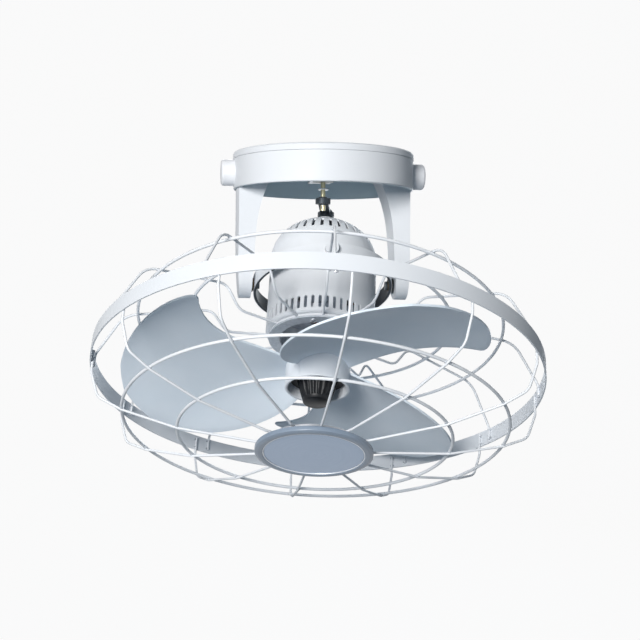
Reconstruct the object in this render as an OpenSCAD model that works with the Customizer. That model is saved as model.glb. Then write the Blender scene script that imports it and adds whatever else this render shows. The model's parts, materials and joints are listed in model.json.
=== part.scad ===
// Orbital ceiling fan: a canopy with two cast legs carries a motor head in a gimbal
// ring, and a crank under the canopy leans the head over and carries its axis round.
// Millimetres, +Z up. The origin is the centre of the face that lies on the ceiling.
// The legs stand on the X axis. The head is drawn leaning as it hangs at rest.

/* [Orbit] */
// Lean of the head's axis from the vertical
orbit_tilt = 28.5; // [20:0.5:30]
// Where the lean points at rest, turned from +Y towards +X
orbit_phase = 12.5; // [0:0.5:60]

/* [Canopy] */
// Outer diameter of the canopy shell
canopy_d = 190; // [170:1:230]
// Height from the ceiling to the open bottom of the shell
canopy_h = 39; // [34:0.5:44]
// Height of the ceiling plate's rim, down to the groove
plate_h = 7.3; // [5:0.1:10]
// Sheet thickness of the ceiling plate
plate_t = 2; // [1.5:0.1:2.5]
// Wall of the canopy shell
shell_wall = 2.2; // [1.5:0.1:3]
// Diameter of the circle of ceiling holes
mount_pcd = 130; // [110:1:136]
// Diameter of the ceiling holes
mount_hole_d = 5.5; // [4:0.1:7]
// Diameter of the supply hole
supply_hole_d = 20; // [12:1:24]

/* [Legs] */
// Drop from the ceiling to the centre of the gimbal
pivot_drop = 139; // [130:1:170]
// Width of a leg at its pivot
leg_w = 34; // [26:1:36]
// Depth of a leg's end below its pivot
leg_end = 14.5; // [12:0.5:18]
// Width of a leg at the ceiling plate
leg_top_w = 41; // [38:1:46]
// Thickness of a leg at its pivot
leg_t = 13.2; // [9:0.1:15]
// Radius of the web's curve inside a leg
web_r = 150; // [120:5:180]
// Diameter of the side caps
cap_d = 27.4; // [20:0.2:30]
// How far the side caps stand out from the shell
cap_out = 13.5; // [8:0.5:18]

/* [Gimbal] */
// Inner diameter of the gimbal ring
ring_bore_d = 141; // [139:1:150]
// Thickness of the gimbal ring
ring_t = 3; // [2:0.5:4]
// Height of the gimbal ring
ring_h = 15; // [12:1:18]
// Diameter of the four pivots
pivot_d = 8; // [6:0.5:9]

/* [Motor] */
// Diameter of the motor covers
motor_d = 113; // [104:1:114]
// Wall of the motor covers
cover_wall = 2; // [1.5:0.1:2.5]
// Depth of the lower cover below the gimbal's centre
motor_low = 62; // [56:1:66]
// Slots in the lower cover
low_slots = 48; // [24:1:48]
// Slots in the dome
top_slots = 36; // [24:1:36]
// Width of a slot
slot_w = 3.2; // [2:0.1:3.6]
// Diameter of the motor shaft
shaft_d = 8; // [6:0.5:10]

/* [Rotor] */
// Diameter that the blade tips sweep
sweep_d = 400; // [340:2:410]
// Diameter of the rotor's hub
hub_d = 64; // [56:1:70]
// Depth of the blades' middle below the gimbal's centre
rotor_drop = 108; // [104:1:112]
// Height of the hub
hub_h = 28; // [24:1:32]
// Number of blades
blades = 3; // [3:1:4]
// Thickness of a blade
blade_t = 2.4; // [1.8:0.1:3]
// Gap between the blade tips and the face of the guard band
tip_gap = 30; // [20:1:45]

/* [Guard] */
// Height of the guard band
band_h = 17; // [12:1:24]
// Sheet thickness of the guard band
band_t = 1.4; // [1:0.1:2]
// Diameter of the guard rings' wire
ring_wire_d = 3.2; // [2.8:0.1:4]
// Diameter of the spokes' wire
spoke_d = 2.6; // [2:0.1:3.2]
// Spokes in each guard
spokes = 12; // [8:1:16]
// Diameter of the badge
badge_d = 118; // [100:1:130]

/* [Crank] */
// Diameter of the vertical rod
rod_d = 5; // [4:0.5:6]
// Diameter of the gearmotor's output shaft
crank_d = 10; // [8:0.5:12]
// Distance from the gimbal's centre to the top of the rod
rod_reach = 109; // [106:0.5:109]

/* [Clearances] */
// Radial gap of a running fit
run_gap = 0.05; // [0.02:0.01:0.1]
// Radial gap where a piece is slipped over another
slip_gap = 0.1; // [0.05:0.05:0.3]
// Gap between faces that move past each other
face_gap = 0.3; // [0.2:0.1:0.6]

/* [Hidden] */
$fn = 96;

// The lean as the two gimbal angles: first about X, then about the ring's own Y
lean_y = asin(sin(orbit_tilt) * sin(orbit_phase));
lean_x = atan(tan(orbit_tilt) * cos(orbit_phase));
// Direction of the vertical rod, seen from above in the head's own frame
crank_turn = atan2(-sin(lean_x), -cos(lean_x) * sin(lean_y));

// Canopy
canopy_r = canopy_d / 2;
shell_in = canopy_r - shell_wall;
seat_r = shell_in - 0.4;
plate_edge = 3;
shell_edge = 1.5;
seam = 0.3;
supply_out = 26;
cap_z = -(plate_h + canopy_h) / 2 + 1;
cap_edge = 3;
stud_d = 6;
stud_l = 12;
bridge_t = 2;
bridge_w = 24;
bridge_span = 70;
foot_l = 14;
bush_d = 14;
bush_h = 4;
block_size = [24, 34, 14];
capacitor_size = [16, 38, 16];
bush_z = -pivot_drop + rod_reach + face_gap;

// Legs
bolt_head_t = 2.2;
bolt_head_d = 9.6;
spacer_t = 1.7;
spacer_d = pivot_d + 8;
bush_hole_d = pivot_d + 2 * run_gap + 2.4;
ring_in = ring_bore_d / 2;
ring_out = ring_in + ring_t;
flange_t = 0.8;
leg_in = ring_out + flange_t + spacer_t;
leg_out = leg_in + leg_t;
leg_slope = 3.6;
web_from = 54;
leg_foot_t = 5;
leg_foot_l = 40;
leg_foot_w = 62;
foot_screw_d = 5;
foot_screw_in = 8;
foot_screw_edge = 5.5;
bolt_end = leg_out - 2.5;

// Motor
motor_r = motor_d / 2;
cover_in = motor_r - cover_wall;
frame_h = 8;
frame_in = motor_r - 9.5;
core_h = 14;
core_in = frame_in - 17;
stator_slots = 12;
stator_slot_d = 7;
rotor_r = core_in - 0.5;
winding_h = 11;
plate_seat = cover_in - 0.3;
plate_reach = core_h + winding_h + 3;
plate_wall = 2;
bearing_d = 22;
bearing_h = 7;
housing_d = 30;
window_r = (housing_d / 2 + plate_seat) / 2 - 2.6;
window_d = 16;
boss_d = 14;
pin_head_t = 3.5;
pin_head_d = 14;
low_edge_r = 3.5;
low_open_r = motor_r - 8.5;
lug_r = motor_r - 10.5;
lug_d = 9;
lug_h = 11;
lug_screw_d = 4;
cover_screw_d = 3;
cover_screw_head = 5;
cover_screw_turn = -86;
cover_screw_step = 4;
cover_screw_z = frame_h + 6;
slot_top = 44;
slot_low = 58;
shoulder_r = 38;
shoulder_z = 28;
shoulder_end = 45;
shoulder_x = motor_r - shoulder_r;
crown_z = shoulder_z - shoulder_x * tan(shoulder_end);
crown_r = shoulder_r + shoulder_x / cos(shoulder_end);
crown_top = crown_z + crown_r;
slot_from = 20;
slot_to = 47;
collar_d = 26;
collar_h = 5;
gear_d = 50;
gear_h = 20;
gear_z = plate_reach + 6;
gear_foot_d = 7;

// Rotor
sweep_r = sweep_d / 2;
hub_r = hub_d / 2;
hub_wall = 2.5;
hub_recess = 12;
hub_top = -rotor_drop + hub_h / 2;
hub_low = -rotor_drop - hub_h / 2;
hub_floor = hub_low + hub_recess;
hub_boss_d = 20;
pin_d = 3;
boss_sink = 6;
pin_z = hub_top - boss_sink - pin_d;
nut_h = 16;
nut_top_d = 44;
nut_low_d = 27;
nut_rim = 4;
nut_floor = 4;
flute_d = 5;
flute_out = 1.2;
flutes = 18;
blade_steps = 16;
chord_steps = 12;
// The blades' edges as turns round the shaft in degrees, and their surface as heights
blade_turn = 102;
root_turn = 112;
low_sweep = 50;
low_hook = 16;
high_sweep = 46;
high_belly = 66;
tip_round = 56;
tip_from = 0.8;
root_low = rotor_drop - 2.9;
root_rise = 0.63;
root_arch = 0.0054;
root_flat = 9;
tip_drop = 105.3;
tip_twist = 1.065;

// Guard. Bends of the wires are given as [radius, height, radius of the bend]
band_r = sweep_r + tip_gap;
band_in = band_r - band_t;
band_drop = rotor_drop + 1;
spoke_r = band_in - slip_gap - spoke_d / 2;
weld = 0.5;
bend_swell = 0.03;
bend_lap = 0.3;
wire_over = (spoke_d + ring_wire_d) / 2 - weld;
inner_lead = 22;
crest_lead = 14;
upper_turn = -3.5;
lower_turn = 0.5;
hub_ring_r = motor_r - 5.5;
hub_ring_z = -motor_low - slip_gap - ring_wire_d / 2;
clamp_t = 2;
clamp_z = hub_ring_z - ring_wire_d / 2 - slip_gap;
inner_r = 136;
inner_z = hub_ring_z + 18.7;
crest_r = band_r - 41;
crest_z = -band_drop + 56;
upper_slope = (inner_z - crest_z) / (crest_r - inner_r);
low_outer_r = band_r - 37;
low_outer_z = -band_drop - 54;
low_inner_r = 137;
low_inner_z = -band_drop - 68;
badge_r = badge_d / 2;
badge_z = -band_drop - 80;
badge_t = 6;
badge_ring_r = 42;
badge_ring_z = badge_z + 4;
badge_screw_r = 30;
badge_screw_d = 3;
rib_r = 48;
clip_turn = 127;
clip_w = 18;
clip_h = 10;
clip_out = 5;
clip_screw_d = 3;
upper_path = [
    [hub_ring_r, hub_ring_z],
    [hub_ring_r + 45.6, hub_ring_z, 14],
    [inner_r - inner_lead, inner_z + wire_over + inner_lead * upper_slope, 14],
    [crest_r + crest_lead, crest_z + wire_over - crest_lead * upper_slope, 26],
    [spoke_r, -band_drop + 9, 14],
    [spoke_r, -band_drop - 5]
];
lower_path = [
    [badge_ring_r, badge_ring_z],
    [badge_r, badge_ring_z - 1, 14],
    [low_inner_r, low_inner_z - wire_over, 14],
    [low_outer_r, low_outer_z - wire_over, 14],
    [band_r - 12, -band_drop - 45, 14],
    [spoke_r, -band_drop - 18, 14],
    [spoke_r, -band_drop + 5]
];

// Crank
arm_reach = 89;
arm_t = 4;
arm_end_d = 16;
eye_h = 6;
arm_base_d = 20;
arm_neck = 10.6;
arm_low = crown_top + collar_h + face_gap;
arm_top = arm_reach + 4;
rod_low = 79;
washer_at = 101;
washer_t = 1.5;
clip_t = 1;

// Places
module in_gimbal() {
    translate([0, 0, -pivot_drop])
        rotate([-lean_x, 0, 0])
            children();
}

module in_head() {
    in_gimbal()
        rotate([0, lean_y, 0])
            children();
}

module in_crank() {
    in_head()
        rotate([0, 0, crank_turn])
            children();
}

module along_rod() {
    rotate([0, orbit_tilt, 0])
        children();
}

module on_both_sides() {
    children();
    mirror([1, 0, 0])
        children();
}

module around(count, turn = 0) {
    for (k = [0 : count - 1])
        rotate([0, 0, turn + k * 360 / count])
            children();
}

// A cylinder that lies along +X from x0 to x1
module along_x(d, x0, x1) {
    translate([x0, 0, 0])
        rotate([0, 90, 0])
            cylinder(d = d, h = x1 - x0);
}

// A disc with a rounded outer edge on its far side
module rounded_disc(d, h, edge) {
    rotate_extrude()
        intersection() {
            union() {
                square([d / 2 - edge, h]);
                square([d / 2, h - edge]);
                translate([d / 2 - edge, h - edge])
                    circle(r = edge, $fn = 48);
            }
            square([d / 2, h]);
        }
}

// A flat tube between two heights
module tube(d_out, d_in, z0, z1) {
    translate([0, 0, z0])
        difference() {
            cylinder(d = d_out, h = z1 - z0);
            translate([0, 0, -1])
                cylinder(d = d_in, h = z1 - z0 + 2);
        }
}

// Canopy body
module ceiling_plate() {
    color("white")
        difference() {
            rotate_extrude()
                difference() {
                    union() {
                        translate([0, -plate_h])
                            square([canopy_r + 0.5, plate_h - plate_edge]);
                        translate([0, -plate_edge])
                            square([canopy_r + 0.5 - plate_edge, plate_edge]);
                        translate([canopy_r + 0.5 - plate_edge, -plate_edge])
                            circle(r = plate_edge, $fn = 48);
                    }
                    translate([-1, -plate_h - 1])
                        square([shell_in + 1, plate_h - plate_t + 1]);
                }
            around(4, 45)
                translate([mount_pcd / 2, 0, -plate_t - 1])
                    cylinder(d = mount_hole_d, h = plate_t + 2);
            translate([0, -supply_out, -plate_t - 1])
                cylinder(d = supply_hole_d, h = plate_t + 2);
            foot_screw_places()
                translate([0, 0, -plate_t - 1])
                    cylinder(d = foot_screw_d + 2 * slip_gap, h = plate_t + 2);
        }
}

module canopy_shell() {
    color("white")
        difference() {
            rotate_extrude()
                difference() {
                    union() {
                        translate([0, -canopy_h + shell_edge])
                            square([canopy_r, canopy_h - plate_h - seam - shell_edge]);
                        translate([0, -canopy_h])
                            square([canopy_r - shell_edge, canopy_h - plate_h - seam]);
                        translate([canopy_r - shell_edge, -canopy_h + shell_edge])
                            circle(r = shell_edge, $fn = 32);
                    }
                    translate([-1, -canopy_h - 1])
                        square([shell_in + 1, canopy_h]);
                }
            on_both_sides()
                translate([0, 0, cap_z])
                    along_x(stud_d + 2, shell_in - 5, canopy_r + 5);
        }
}

module side_cap() {
    difference() {
        translate([canopy_r - 3, 0, cap_z])
            rotate([0, 90, 0])
                union() {
                    rounded_disc(cap_d, cap_out + 3, cap_edge);
                    translate([0, 0, 3 - shell_wall - stud_l])
                        cylinder(d = stud_d, h = shell_wall + stud_l);
                }
        difference() {
            cylinder(r = canopy_r + slip_gap, h = 3 * canopy_h, center = true);
            translate([0, 0, cap_z])
                along_x(stud_d, 0, canopy_r + 5);
        }
    }
}

module side_cap_left() {
    color("white")
        mirror([1, 0, 0])
            side_cap();
}

module side_cap_right() {
    color("white")
        side_cap();
}

// The leg seen from the front: a web that spreads in a long curve up to the ceiling plate
module leg_front() {
    low = -pivot_drop - leg_end;
    bend_z = -pivot_drop + web_from;
    bend_x = leg_in - web_from * tan(leg_slope);
    difference() {
        polygon([
            [leg_in + leg_end * tan(leg_slope), low],
            [leg_out, low],
            [canopy_r, -canopy_h],
            [canopy_r, -plate_t],
            [bend_x - leg_foot_l, -plate_t],
            [bend_x - leg_foot_l, bend_z],
            [bend_x, bend_z]
        ]);
        translate([bend_x - web_r * cos(leg_slope), bend_z - web_r * sin(leg_slope)])
            circle(r = web_r, $fn = 240);
    }
}

// The leg seen from the side: a strap with a round end at its pivot
module leg_side() {
    round_z = -pivot_drop - leg_end + leg_w / 2;
    translate([0, round_z])
        circle(d = leg_w);
    polygon([
        [-leg_w / 2, round_z],
        [leg_w / 2, round_z],
        [leg_top_w / 2, -plate_t],
        [-leg_top_w / 2, -plate_t]
    ]);
}

module foot_screw_places() {
    on_both_sides()
        for (side = [-1, 1])
            translate([leg_in - foot_screw_in, side * (leg_foot_w / 2 - foot_screw_edge), 0])
                children();
}

module leg() {
    difference() {
        intersection() {
            union() {
                intersection() {
                    translate([0, leg_top_w, 0])
                        rotate([90, 0, 0])
                            linear_extrude(2 * leg_top_w)
                                leg_front();
                    rotate([90, 0, 90])
                        linear_extrude(canopy_d)
                            leg_side();
                }
                translate([seat_r - leg_foot_l, -leg_foot_w / 2, -plate_t - leg_foot_t])
                    cube([leg_foot_l, leg_foot_w, leg_foot_t]);
            }
            translate([0, 0, -2 * pivot_drop])
                cylinder(r = seat_r, h = 2 * pivot_drop + 1);
        }
        translate([0, 0, -pivot_drop]) {
            along_x(pivot_d + 2 * slip_gap, leg_in - 5, bolt_end + 0.3);
            along_x(spacer_d + 1, leg_in - 5, leg_in);
        }
        translate([0, 0, cap_z])
            along_x(stud_d + 2 * slip_gap, shell_in - stud_l - 2, shell_in + 5);
        foot_screw_places()
            translate([0, 0, -plate_t - leg_foot_t - 1])
                cylinder(d = foot_screw_d + 2 * slip_gap, h = leg_foot_t + 2);
    }
}

module yoke_leg_left() {
    color("white")
        mirror([1, 0, 0])
            leg();
}

module yoke_leg_right() {
    color("white")
        leg();
}

module leg_screws() {
    color("silver")
        foot_screw_places()
            translate([0, 0, -plate_t - leg_foot_t]) {
                cylinder(d = foot_screw_d, h = leg_foot_t + 1.2);
                translate([0, 0, -3])
                    cylinder(d = 2 * foot_screw_d - 0.6, h = 3);
            }
}

// A bolt that is screwed into the leg from inside the ring, which turns on its shank
module pivot_bolt() {
    translate([0, 0, -pivot_drop]) {
        along_x(pivot_d, ring_in - flange_t, bolt_end);
        along_x(bolt_head_d, ring_in - flange_t - face_gap - bolt_head_t, ring_in - flange_t - face_gap);
        along_x(pivot_d, ring_in - flange_t - face_gap - 1, ring_in);
    }
}

module pivot_bolt_left() {
    color("dimgray")
        mirror([1, 0, 0])
            pivot_bolt();
}

module pivot_bolt_right() {
    color("dimgray")
        pivot_bolt();
}

module pivot_spacers() {
    color("dimgray")
        on_both_sides()
            translate([0, 0, -pivot_drop])
                difference() {
                    along_x(spacer_d, leg_in - spacer_t + face_gap, leg_in);
                    along_x(pivot_d + 2 * slip_gap, leg_in - spacer_t - 1, leg_in + 1);
                }
}

// A hat-shaped bracket across the middle of the canopy
module bridge_bracket() {
    low = bush_z + bush_h - bridge_t;
    color("silver")
        difference() {
            union() {
                translate([-bridge_w / 2, -bridge_span / 2, low])
                    cube([bridge_w, bridge_span, bridge_t]);
                for (side = [-1, 1])
                    translate([-bridge_w / 2, side * (bridge_span - bridge_t) / 2 - bridge_t / 2, low])
                        cube([bridge_w, bridge_t, -plate_t - low]);
                for (side = [-1, 1])
                    translate([-bridge_w / 2, side * (bridge_span + foot_l) / 2 - foot_l / 2,
                            -plate_t - bridge_t])
                        cube([bridge_w, foot_l, bridge_t]);
            }
            translate([0, 0, low - 1])
                cylinder(d = bush_d + 2 * slip_gap, h = bridge_t + 2);
        }
}

module rod_bush() {
    color("gainsboro")
        union() {
            tube(bush_d, rod_d + 2 * run_gap, bush_z, bush_z + bush_h + 3);
            tube(bush_d + 8, rod_d + 2 * run_gap, bush_z, bush_z + bush_h - bridge_t);
        }
}

module terminal_block() {
    color("ivory")
        translate([-block_size[0] / 2 - 30, 30, -plate_t - block_size[2]])
            difference() {
                cube(block_size);
                for (k = [0 : 2])
                    translate([block_size[0] / 2, block_size[1] * (2 * k + 1) / 6, -1])
                        cylinder(d = 5, h = block_size[2] / 2);
            }
}

module run_capacitor() {
    color("lightgray")
        translate([26, 30, -plate_t - capacitor_size[2]])
            cube(capacitor_size);
}

module earth_screw() {
    color("goldenrod")
        translate([-30, -46, -plate_t]) {
            translate([0, 0, -4])
                cylinder(d = 9, h = 4);
            translate([0, 0, -9])
                cylinder(d = 4, h = 6);
        }
}

// Gimbal body
module gimbal_ring() {
    color("dimgray")
        in_gimbal()
            difference() {
                tube(2 * ring_out, 2 * ring_in, -ring_h / 2, ring_h / 2);
                around(4)
                    along_x(bush_hole_d, ring_in - 5, ring_out + 5);
            }
}

// Flanged bushes line the ring's four holes, with their flanges inside and outside
module gimbal_bushes() {
    color("goldenrod")
        in_gimbal()
            around(4)
                difference() {
                    union() {
                        along_x(bush_hole_d - 2 * slip_gap, ring_in - flange_t, ring_out + flange_t);
                        intersection() {
                            along_x(bush_hole_d + 3, ring_out - 2, ring_out + flange_t);
                            difference() {
                                cylinder(r = ring_out + 5, h = ring_h, center = true);
                                cylinder(r = ring_out + 0.02, h = ring_h + 2, center = true);
                            }
                        }
                    }
                    along_x(pivot_d + 2 * run_gap, ring_in - 5, ring_out + 5);
                }
}

// Head body
module motor_top_cover() {
    color("white")
        in_head()
            difference() {
                union() {
                    rotate_extrude()
                        difference() {
                            dome_outline(0);
                            dome_outline(cover_wall);
                        }
                    tube(collar_d, crank_d, crown_top - cover_wall - 1, crown_top + collar_h);
                }
                translate([0, 0, crown_top - 10])
                    cylinder(d = crank_d + 2 * run_gap, h = 20);
                cover_screw_places()
                    along_x(cover_screw_d + 2 * slip_gap, cover_in - 10, motor_r + 1);
                around(top_slots)
                    translate([0, slot_w / 2, 0])
                        rotate([90, 0, 0])
                            linear_extrude(slot_w)
                                dome_slot_outline();
            }
}

// Half outline of the dome: a straight skirt, a shoulder arc and a crown arc that meet smoothly
module dome_outline(inset) {
    low = inset > 0 ? frame_h - 1 : frame_h;
    meet_x = shoulder_x + shoulder_r * cos(shoulder_end);
    intersection() {
        union() {
            translate([0, low])
                square([motor_r - inset, shoulder_z - low]);
            translate([shoulder_x, shoulder_z])
                circle(r = shoulder_r - inset, $fn = 180);
            intersection() {
                translate([0, crown_z])
                    circle(r = crown_r - inset, $fn = 360);
                translate([0, low])
                    square([meet_x, crown_top]);
            }
        }
        translate([0, low])
            square([motor_r, crown_top]);
    }
}

// A slot of the dome in the plane of radius and height, cut square to the shoulder
module dome_slot_outline() {
    translate([shoulder_x, shoulder_z])
        difference() {
            polygon([
                [0, 0],
                2 * shoulder_r * [cos(slot_from), sin(slot_from)],
                2 * shoulder_r * [cos(slot_to), sin(slot_to)]
            ]);
            circle(r = shoulder_r - cover_wall - 3, $fn = 90);
        }
}

module motor_lower_cover() {
    color("white")
        in_head()
            difference() {
                union() {
                    rotate_extrude()
                        difference() {
                            lower_outline(0);
                            lower_outline(cover_wall);
                            translate([0, -motor_low - 1])
                                square([low_open_r, motor_low]);
                        }
                    lug_places()
                        translate([0, 0, -motor_low + cover_wall / 2])
                            cylinder(d = lug_d, h = lug_h);
                }
                around(low_slots)
                    translate([0, 0, -(slot_top + slot_low) / 2])
                        rotate([90, 0, 90])
                            translate([0, 0, cover_in - 4])
                                linear_extrude(10)
                                    slot_outline(slot_w, slot_low - slot_top);
                lug_places()
                    translate([0, 0, -motor_low - 1])
                        cylinder(d = lug_screw_d + 2 * slip_gap, h = 10);
                mirror([0, 0, 1])
                    cover_screw_places()
                        along_x(cover_screw_d + 2 * slip_gap, cover_in - 10, motor_r + 1);
            }
}

module slot_outline(w, l) {
    square([w, l - w], center = true);
    for (end = [-1, 1])
        translate([0, end * (l - w) / 2])
            circle(d = w, $fn = 24);
}

module lower_outline(inset) {
    r = motor_r - inset;
    low = -motor_low + inset;
    edge = low_edge_r - inset;
    translate([0, low + edge])
        square([r, -frame_h - low - edge + (inset > 0 ? 1 : 0)]);
    translate([0, low])
        square([r - edge, edge + 1]);
    translate([r - edge, low + edge])
        circle(r = edge, $fn = 48);
}

// A ring between the two covers, with the bosses of the inner pivots
module motor_frame() {
    color("gainsboro")
        in_head()
            difference() {
                union() {
                    tube(2 * motor_r, 2 * frame_in, -frame_h, frame_h);
                    for (side = [-90, 90])
                        rotate([0, 0, side])
                            along_x(boss_d, motor_r - 4, ring_in - flange_t - face_gap);
                }
                for (side = [-90, 90])
                    rotate([0, 0, side])
                        along_x(pivot_d + 2 * slip_gap, frame_in + 1, ring_in + 5);
            }
}

module inner_pin() {
    along_x(pivot_d, frame_in + 2, ring_out + flange_t + face_gap + 1);
    along_x(pin_head_d, ring_out + flange_t + face_gap, ring_out + flange_t + face_gap + pin_head_t);
}

module inner_pin_near() {
    color("dimgray")
        in_head()
            rotate([0, 0, -90])
                inner_pin();
}

module inner_pin_far() {
    color("dimgray")
        in_head()
            rotate([0, 0, 90])
                inner_pin();
}

module stator_core() {
    color("slategray")
        in_head()
            difference() {
                cylinder(r = frame_in - slip_gap, h = 2 * core_h, center = true);
                cylinder(r = core_in, h = 2 * core_h + 2, center = true);
                around(stator_slots)
                    translate([core_in + stator_slot_d - 2, 0, 0])
                        cylinder(d = stator_slot_d, h = 2 * core_h + 2, center = true, $fn = 32);
            }
}

module winding(z) {
    color("chocolate")
        in_head()
            rotate_extrude()
                translate([(core_in + frame_in) / 2, z])
                    intersection() {
                        circle(d = winding_h + 1, $fn = 48);
                        square([winding_h + 2, winding_h], center = true);
                    }
}

module winding_upper() {
    winding(core_h + winding_h / 2);
}

module winding_lower() {
    winding(-core_h - winding_h / 2);
}

// A cup that seats on the frame and holds a bearing in the middle of its floor
module bearing_plate() {
    difference() {
        union() {
            rotate_extrude()
                difference() {
                    translate([0, frame_h])
                        square([plate_seat, plate_reach - frame_h]);
                    translate([-1, frame_h - 1])
                        square([plate_seat - plate_wall + 1, plate_reach - frame_h - plate_wall + 1]);
                }
            translate([0, 0, plate_reach - bearing_h + 1])
                cylinder(d = housing_d, h = bearing_h + 1);
        }
        translate([0, 0, plate_reach - bearing_h])
            cylinder(d = bearing_d + 2 * slip_gap, h = bearing_h);
        cylinder(d = shaft_d + 6, h = 2 * plate_reach + 10, center = true);
        around(6, 30)
            translate([window_r, 0, plate_reach - 10])
                cylinder(d = window_d, h = 20);
        cover_screw_places()
            along_x(cover_screw_d + 2 * slip_gap, cover_in - 10, motor_r);
    }
}

module upper_bearing_plate() {
    color("gray")
        in_head()
            bearing_plate();
}

module lower_bearing_plate() {
    color("gray")
        in_head()
            mirror([0, 0, 1])
                bearing_plate();
}

module bearing() {
    tube(bearing_d, shaft_d + 2 * run_gap, plate_reach - bearing_h, plate_reach);
}

module upper_bearing() {
    color("silver")
        in_head()
            bearing();
}

module lower_bearing() {
    color("silver")
        in_head()
            mirror([0, 0, 1])
                bearing();
}

module orbit_gearmotor() {
    color("darkgray")
        in_head()
            difference() {
                union() {
                    translate([0, 0, gear_z])
                        cylinder(d = gear_d, h = gear_h);
                    around(3, 90)
                        translate([gear_d / 2 - 2, 0, plate_reach])
                            cylinder(d = gear_foot_d, h = gear_z - plate_reach + gear_h / 2);
                }
                translate([0, 0, gear_z + gear_h - 8])
                    cylinder(d = crank_d + 2 * run_gap, h = 10);
            }
}

// Three pairs of screws a cover, above the frame as placed here and mirrored below it
module cover_screw_places() {
    for (side = [-1, 1])
        around(3, cover_screw_turn + side * cover_screw_step)
            translate([0, 0, cover_screw_z])
                children();
}

module cover_screw() {
    along_x(cover_screw_d, cover_in - 5, motor_r + 0.1);
    along_x(cover_screw_head, motor_r + 0.1, motor_r + 1.3);
}

module cover_screws() {
    color("silver")
        in_head() {
            cover_screw_places()
                cover_screw();
            mirror([0, 0, 1])
                cover_screw_places()
                    cover_screw();
        }
}

// A flange below the guard's hub ring, screwed to the lugs of the lower cover
module lug_places() {
    around(3, 15)
        translate([lug_r, 0, 0])
            children();
}

module guard_clamp() {
    color("dimgray")
        in_head()
            difference() {
                tube(2 * hub_ring_r + 4, 2 * lug_r - lug_d, clamp_z - clamp_t, clamp_z);
                lug_places()
                    translate([0, 0, clamp_z - clamp_t - 1])
                        cylinder(d = lug_screw_d + 2 * slip_gap, h = clamp_t + 2);
            }
}

module guard_screws() {
    color("silver")
        in_head()
            lug_places()
                translate([0, 0, clamp_z - clamp_t]) {
                    cylinder(d = lug_screw_d, h = clamp_t - clamp_z - motor_low + 7);
                    translate([0, 0, -2])
                        cylinder(d = lug_screw_d + 3, h = 2);
                }
}

// A wire bent in the plane of radius and height: straight runs with a bend at each inner point
module bent_wire(path, d) {
    last = len(path) - 1;
    for (i = [0 : last - 1]) {
        from = at(path, i);
        run = at(path, i + 1) - from;
        dir = run / norm(run);
        cut0 = i == 0 ? 0 : bend_cut(path, i) - bend_lap;
        cut1 = i == last - 1 ? 0 : bend_cut(path, i + 1) - bend_lap;
        start = from + dir * cut0;
        translate([start[0], 0, start[1]])
            rotate([0, 90 - atan2(dir[1], dir[0]), 0])
                cylinder(d = d, h = norm(run) - cut0 - cut1);
    }
    for (i = [1 : last - 1])
        wire_bend_at(path, i, d + bend_swell);
}

function at(path, i) = [path[i][0], path[i][1]];

// Signed turn of the path at point i, in degrees
function turn_at(path, i) = let (p = at(path, i) - at(path, i - 1), q = at(path, i + 1) - at(path, i))
    atan2(p[0] * q[1] - p[1] * q[0], p[0] * q[0] + p[1] * q[1]);

// Length that the bend at point i takes from each of its two straight runs
function bend_cut(path, i) = path[i][2] * tan(abs(turn_at(path, i)) / 2);

module wire_bend_at(path, i, d) {
    turn = turn_at(path, i);
    side = sign(turn);
    run = at(path, i) - at(path, i - 1);
    dir = run / norm(run);
    heading = atan2(dir[1], dir[0]);
    start = at(path, i) - dir * bend_cut(path, i);
    centre = start + side * path[i][2] * [-dir[1], dir[0]];
    translate([centre[0], 0, centre[1]])
        rotate([90, 0, 0])
            rotate([0, 0, heading - side * 90 + (side < 0 ? turn : 0)])
                rotate_extrude(angle = abs(turn))
                    translate([path[i][2], 0])
                        circle(d = d, $fn = 32);
}

module ring_wire(r, z, d) {
    rotate_extrude($fn = 180)
        translate([r, z])
            circle(d = d, $fn = 32);
}

// Spokes lie outside the rings that they are welded to, and inside the band
module upper_guard() {
    color("gainsboro")
        in_head() {
            around(spokes, upper_turn)
                bent_wire(upper_path, spoke_d);
            ring_wire(hub_ring_r, hub_ring_z, ring_wire_d);
            ring_wire(inner_r, inner_z, ring_wire_d);
            ring_wire(crest_r, crest_z, ring_wire_d);
        }
}

module lower_guard() {
    color("gainsboro")
        in_head() {
            around(spokes, lower_turn)
                bent_wire(lower_path, spoke_d);
            ring_wire(badge_ring_r, badge_ring_z, ring_wire_d);
            ring_wire(low_inner_r, low_inner_z, ring_wire_d);
            ring_wire(low_outer_r, low_outer_z, ring_wire_d);
        }
}

module guard_band() {
    color("white")
        in_head()
            tube(2 * band_r, 2 * band_in, -band_drop - band_h / 2, -band_drop + band_h / 2);
}

// A clip with two lips closes the band, and a screw draws the lips together
module band_clamp() {
    color("dimgray")
        in_head()
            at_clip()
                difference() {
                    translate([0, -clip_w / 2, -clip_h / 2])
                        cube([clip_out, clip_w, clip_h]);
                    translate([clip_out * 0.4, -clip_w / 6, -clip_h])
                        cube([clip_out, clip_w / 3, 2 * clip_h]);
                    translate([clip_out * 0.7, 0, 0])
                        rotate([90, 0, 0])
                            cylinder(d = clip_screw_d + 2 * slip_gap, h = 2 * clip_w, center = true);
                }
}

module at_clip() {
    rotate([0, 0, clip_turn])
        translate([band_r + slip_gap, 0, -band_drop])
            children();
}

module band_screw() {
    color("silver")
        in_head()
            at_clip()
                translate([clip_out * 0.7, -clip_w / 2, 0])
                    rotate([-90, 0, 0]) {
                        cylinder(d = clip_screw_d, h = clip_w);
                        translate([0, 0, -2.5])
                            cylinder(d = 2 * clip_screw_d, h = 2.5);
                    }
}

// Badge
module badge_screw_places() {
    around(3, 30)
        translate([badge_screw_r, 0, badge_z])
            children();
}

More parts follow.
